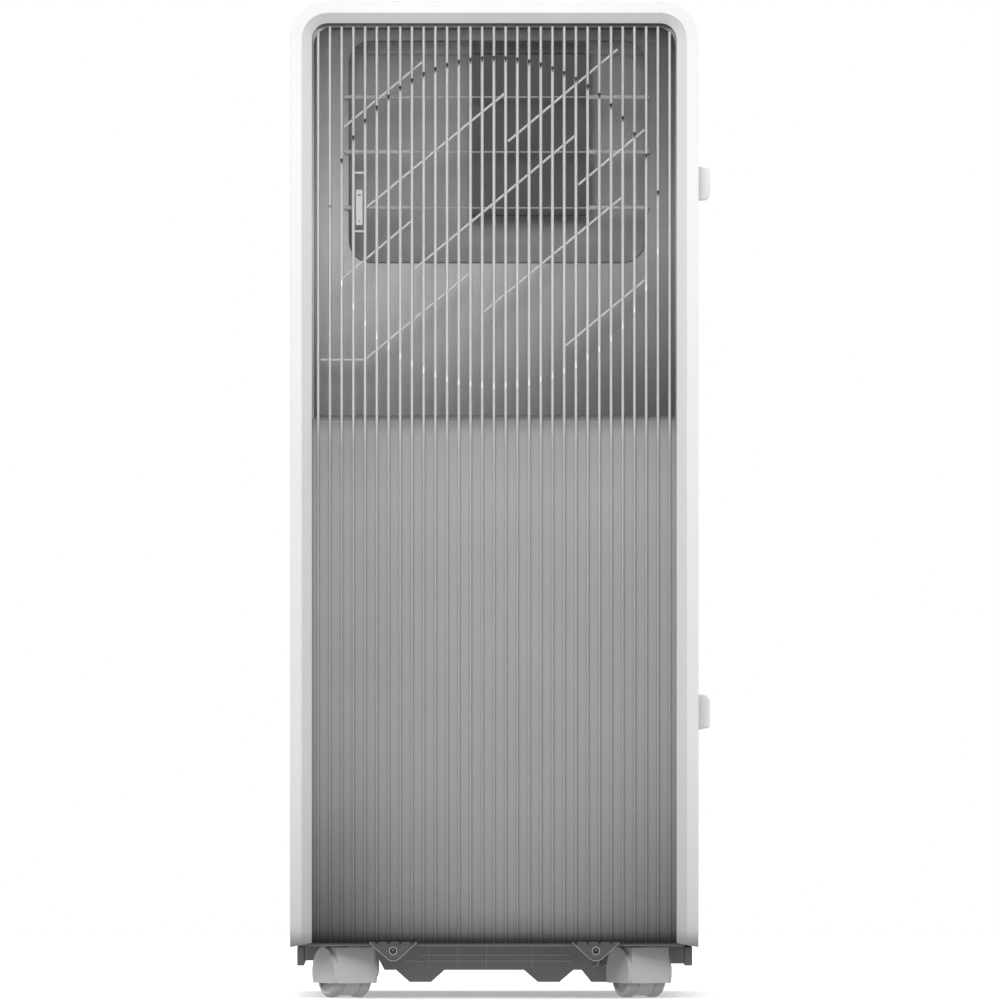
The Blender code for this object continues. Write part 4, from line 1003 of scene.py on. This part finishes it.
def make_chamber_wall(side, word):
    """The inner wall with its rounded window, a dark seal round it, and a liner deeper in. The wall carries painted
    light and shade by place, and the liner's darker grey is painted shade.
    """
    node = "chamber_wall_" + word
    low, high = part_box(node)
    inner = min(abs(low.x), abs(high.x))
    plate = 0.0025
    outline = rounded_rectangle((low.y, low.z), (high.y, high.z), WINDOW_R)
    window = rounded_rectangle((WINDOW_Y[0], WINDOW_Z[0]), (WINDOW_Y[1], WINDOW_Z[1]), WINDOW_R)
    # The wall's grey carries painted light and shade by height and depth.
    wall = sheet_outline(node + "_fine", [outline, window], side * inner, side * (inner + plate), "inner_grey",
                         finish="wall_grey_painted_light_and_shade")
    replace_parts(wall, node)
    seal = [(side * (inner + plate), y, z) for y, z in window]
    wire("window_seal_" + word, [seal], 0.00045, "inner_grey", True, finish="tab_dark")
    grow, shrink, deep = 0.008, 0.004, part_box("fan_housing_upper")[1].x
    wide = rounded_rectangle((WINDOW_Y[0] - grow, WINDOW_Z[0] - grow), (WINDOW_Y[1] + grow, 0.774), WINDOW_R)
    narrow = rounded_rectangle((WINDOW_Y[0] + shrink, WINDOW_Z[0] + shrink), (WINDOW_Y[1] - shrink, 0.7560),
                               WINDOW_R - shrink)
    # The liner's darker grey is painted shade.
    sheet_outline("window_liner_" + word, [wide, narrow], side * (deep + 0.0003), side * (deep + 0.0013),
                  "inner_grey", finish="inner_grey_painted_shade")
    make_rails(side, word, inner)


def make_rails(side, word, inner):
    """Three rails across the window, thin in the middle, with thick ends that close to a round tip."""
    thick, thin, tip, face, depth = 0.0019, 0.0005, 0.0004, inner + 0.0060, 0.0035
    (start, end), past = WINDOW_Y, 0.004
    front_end, back_end = start + 0.0475, end - 0.0450
    stations = ((start - past, tip), (start - 0.0034, 0.0013), (start - 0.0022, thick), (front_end, thick),
                (front_end + 0.002, thin), (back_end - 0.002, thin), (back_end, thick), (end + 0.0022, thick),
                (end + 0.0034, 0.0013), (end + past, tip))
    bm = bmesh.new()
    for z in RAILS_Z:
        rows = []
        for y, half in stations:
            section = [(face - depth, -half), (face - half * 0.5, -half), (face, -half * 0.5), (face, half * 0.5),
                       (face - half * 0.5, half), (face - depth, half)]
            rows.append([(side * x, y, z + v) for x, v in section])
        loft(bm, rows)
    place_piece("window_rails_" + word, bm, "inner_grey", 50)


def make_sensor():
    """The room sensor: a small rounded housing with a slot near its top, and near its foot a flat darker disc for a
    dimple, its darkness painted shade.
    """
    refined("room_sensor", 0.0005, 3, finish="rib_grey")
    low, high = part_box("room_sensor")
    middle = (low.y + high.y) / 2
    back, front, edge = high.x - 0.0003, high.x + 0.0001, 0.00005
    slot = arc((middle, high.z - 0.0042), 0.0005, 0, 330, 11)
    points = [(u + math.copysign(0.0009, u - middle), v) for u, v in slot]
    sheet_outline("sensor_slot", [points], back, front, "rubber", edge)
    # The dimple is a flat disc; its darker grey is painted shade.
    dimple = arc((middle, low.z + 0.0035), 0.0007, 0, 345, 23)
    sheet_outline("sensor_dimple_painted_shade", [dimple], back, front, "caster_grey", edge, "panel_valley_painted_shade")


def make_inside():
    """What shows through the open grilles."""
    for side, word in SIDES:
        make_chamber_wall(side, word)
    # The upper fan housing's darker grey is painted shade.
    refined("fan_housing_upper", 0.0008, finish="inner_grey_painted_shade")
    refined("control_box", 0.0012, 3)
    refined("condensate_pan")
    low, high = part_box("fan_housing_upper")
    for side, word in SIDES:
        strip = rounded_rectangle((low.y + 0.001, 0.7578), (high.y - 0.008, high.z), 0.002, 4)
        sheet_outline("housing_flange_" + word, [strip], side * high.x, side * (high.x + 0.0026), "inner_grey")
    make_sensor()


# ---------------- front, top and back
def make_front():
    """The outlet: its louvre and frame, the vanes behind them and the link that turns the vanes."""
    refined("outlet_louvre", 0.0008, 3)
    refined("outlet_frame", 0.0005)
    for number in range(1, 5):
        refined("vane_%d" % number, 0.0003)
    refined("vane_link", 0.0003)


def flat_mark(name, lines, top, body, width=0.00022):
    """A symbol of fine raised lines, on a surface at a given height: dark on a button, white elsewhere."""
    slot = "rubber" if body.startswith("button") else "button_white"
    return wire(name, [[(x, y, top) for x, y in line] for line in lines], width, slot, resolution=2, body=body)


def symbol_lines(kind, x, y):
    """Plain symbols: a broken ring with a stroke, a six-armed star, a chevron down and a chevron up."""
    size = 0.0024
    if kind == "button_power":
        return [arc((x, y), size, 120, 420, 20), [(x, y + size * 0.2), (x, y + size * 1.1)]]
    if kind == "button_mode":
        return [arc((x, y), size, angle, angle + 180, 1) for angle in (30, 90, 150)]
    lift = size * 0.5 if kind == "button_warmer" else -size * 0.5
    return [[(x - size * 0.8, y - lift), (x, y + lift), (x + size * 0.8, y - lift)]]


def digit_lines(x, y, width, height, segments):
    """A seven-bar digit: its bars are named a to g, from the top round clockwise, with g in the middle."""
    gap = 0.0006
    left, right, low, middle, high = x, x + width, y, y + height / 2, y + height
    bars = {"a": ((left + gap, high), (right - gap, high)), "b": ((right, middle + gap), (right, high - gap)),
            "c": ((right, low + gap), (right, middle - gap)), "d": ((left + gap, low), (right - gap, low)),
            "e": ((left, low + gap), (left, middle - gap)), "f": ((left, middle + gap), (left, high - gap)),
            "g": ((left + gap, middle), (right - gap, middle))}
    return [bars[letter] for letter in segments]


def make_controls():
    """The panel and its display with two plain digits, four buttons with symbols, and three small lamps."""
    refined("control_panel", 0.0004)
    refined("display_lens", 0.0004)
    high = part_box("display_lens")[1]
    digit_y, width, height = -0.0915, 0.0075, 0.013
    digits = (digit_lines(-0.0112, digit_y, width, height, "abged")
              + digit_lines(0.0028, digit_y, width, height, "fgbc"))
    flat_mark("display_digits", digits, high.z, "casing", 0.0004)
    radius, collar, stem = 0.0054, 0.0066, 0.0015
    for node in ("button_power", "button_mode", "button_cooler", "button_warmer"):
        centre = node_centre(node)
        low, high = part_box(node)
        length = high.z - low.z
        profile = rounded_profile([(0, -0.0004), (radius - 0.0009, 0), (radius, -0.0010), (radius, -0.0064),
                                   (collar, -0.0064), (collar, -0.0076), (stem, -0.0076), (stem, -length),
                                   (0, -length)], 0.0005)
        stand_for(node, revolve(profile, (centre.x, centre.y, high.z), (0, 0, 1), 56), smooth_angle=50)
        lines = symbol_lines(node, centre.x, centre.y)
        flat_mark(node + "_symbol", lines, high.z - 0.0002, node)
    lamp_pitch, lamp_y, lamp_z = 0.012, -0.0665, high.z - 0.0005
    dome = [(0, 0.0002), (0.0007, 0.00015), (0.0009, -0.0004)]
    for number in range(3):
        lamp = revolve(dome, (lamp_pitch * (number - 1), lamp_y, lamp_z), (0, 0, 1), 20)
        place_piece("indicator_lamp_%d" % (number + 1), lamp, "button_white", 60)


def make_back():
    """The hose collar, cord gland, drain caps, filter grille and cord hooks, on the recessed back wall."""
    recess, backwards = 0.1468, (0, 1, 0)

    def turned(node, profile, corner, corner_steps, steps, closed, flutes=0, flute_depth=0.0):
        """A round piece for a node, turned from a profile that is measured from the recessed wall."""
        middle = node_centre(node)
        bm = revolve(rounded_profile(profile, corner, corner_steps, closed), (middle.x, recess, middle.z), backwards,
                     steps, closed, flutes, flute_depth)
        stand_for(node, bm, smooth_angle=50)

    outer, bore, flange = 0.0657, 0.061, 0.074
    collar = [(outer, 0.0115), (outer, -0.0033), (flange, -0.0033), (flange, -0.0055), (bore, -0.0055),
              (bore, 0.0115)]
    turned("exhaust_collar", collar, 0.0012, 4, 120, True)
    gland = [(0.0095, 0.006), (0.0115, 0.004), (0.0115, 0.0003), (0.008, 0.0003), (0.008, -0.008), (0.0042, -0.008),
             (0.0042, 0.006)]
    turned("cord_gland", gland, 0.0012, 3, 56, True)
    cap = [(0, 0.0076), (0.0094, 0.008), (0.0125, 0.0055), (0.0125, 0.0003), (0.0085, 0.0003), (0.0078, -0.013),
           (0, -0.013)]
    for node in ("drain_cap_upper", "drain_cap_lower"):
        turned(node, cap, 0.0012, 3, 96, False, 16, 0.0006)
    refined("filter_grille", 0.0006, 3)
    # The hooks' lighter white is painted light.
    for node in ("cord_hook_upper", "cord_hook_lower"):
        refined(node, 0.0012, 3, 50, "hook_white_painted_light")


# ---------------- assembly
def dress_the_rest():
    """CAD nodes whose shape is right keep it, and get their slot's material."""
    replaced = {node for piece in bpy.data.objects for node in piece.get("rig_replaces", [])}
    for node, obj in frame["nodes"].items():
        if node not in replaced:
            finish_mesh(obj.data, SLOT_OF[node], 32)


def make_everything():
    make_materials()
    make_camera()
    make_stage()
    make_side_panels()
    make_covers()
    make_base()
    make_casters()
    make_inside()
    make_front()
    make_controls()
    make_back()
    dress_the_rest()


make_everything()
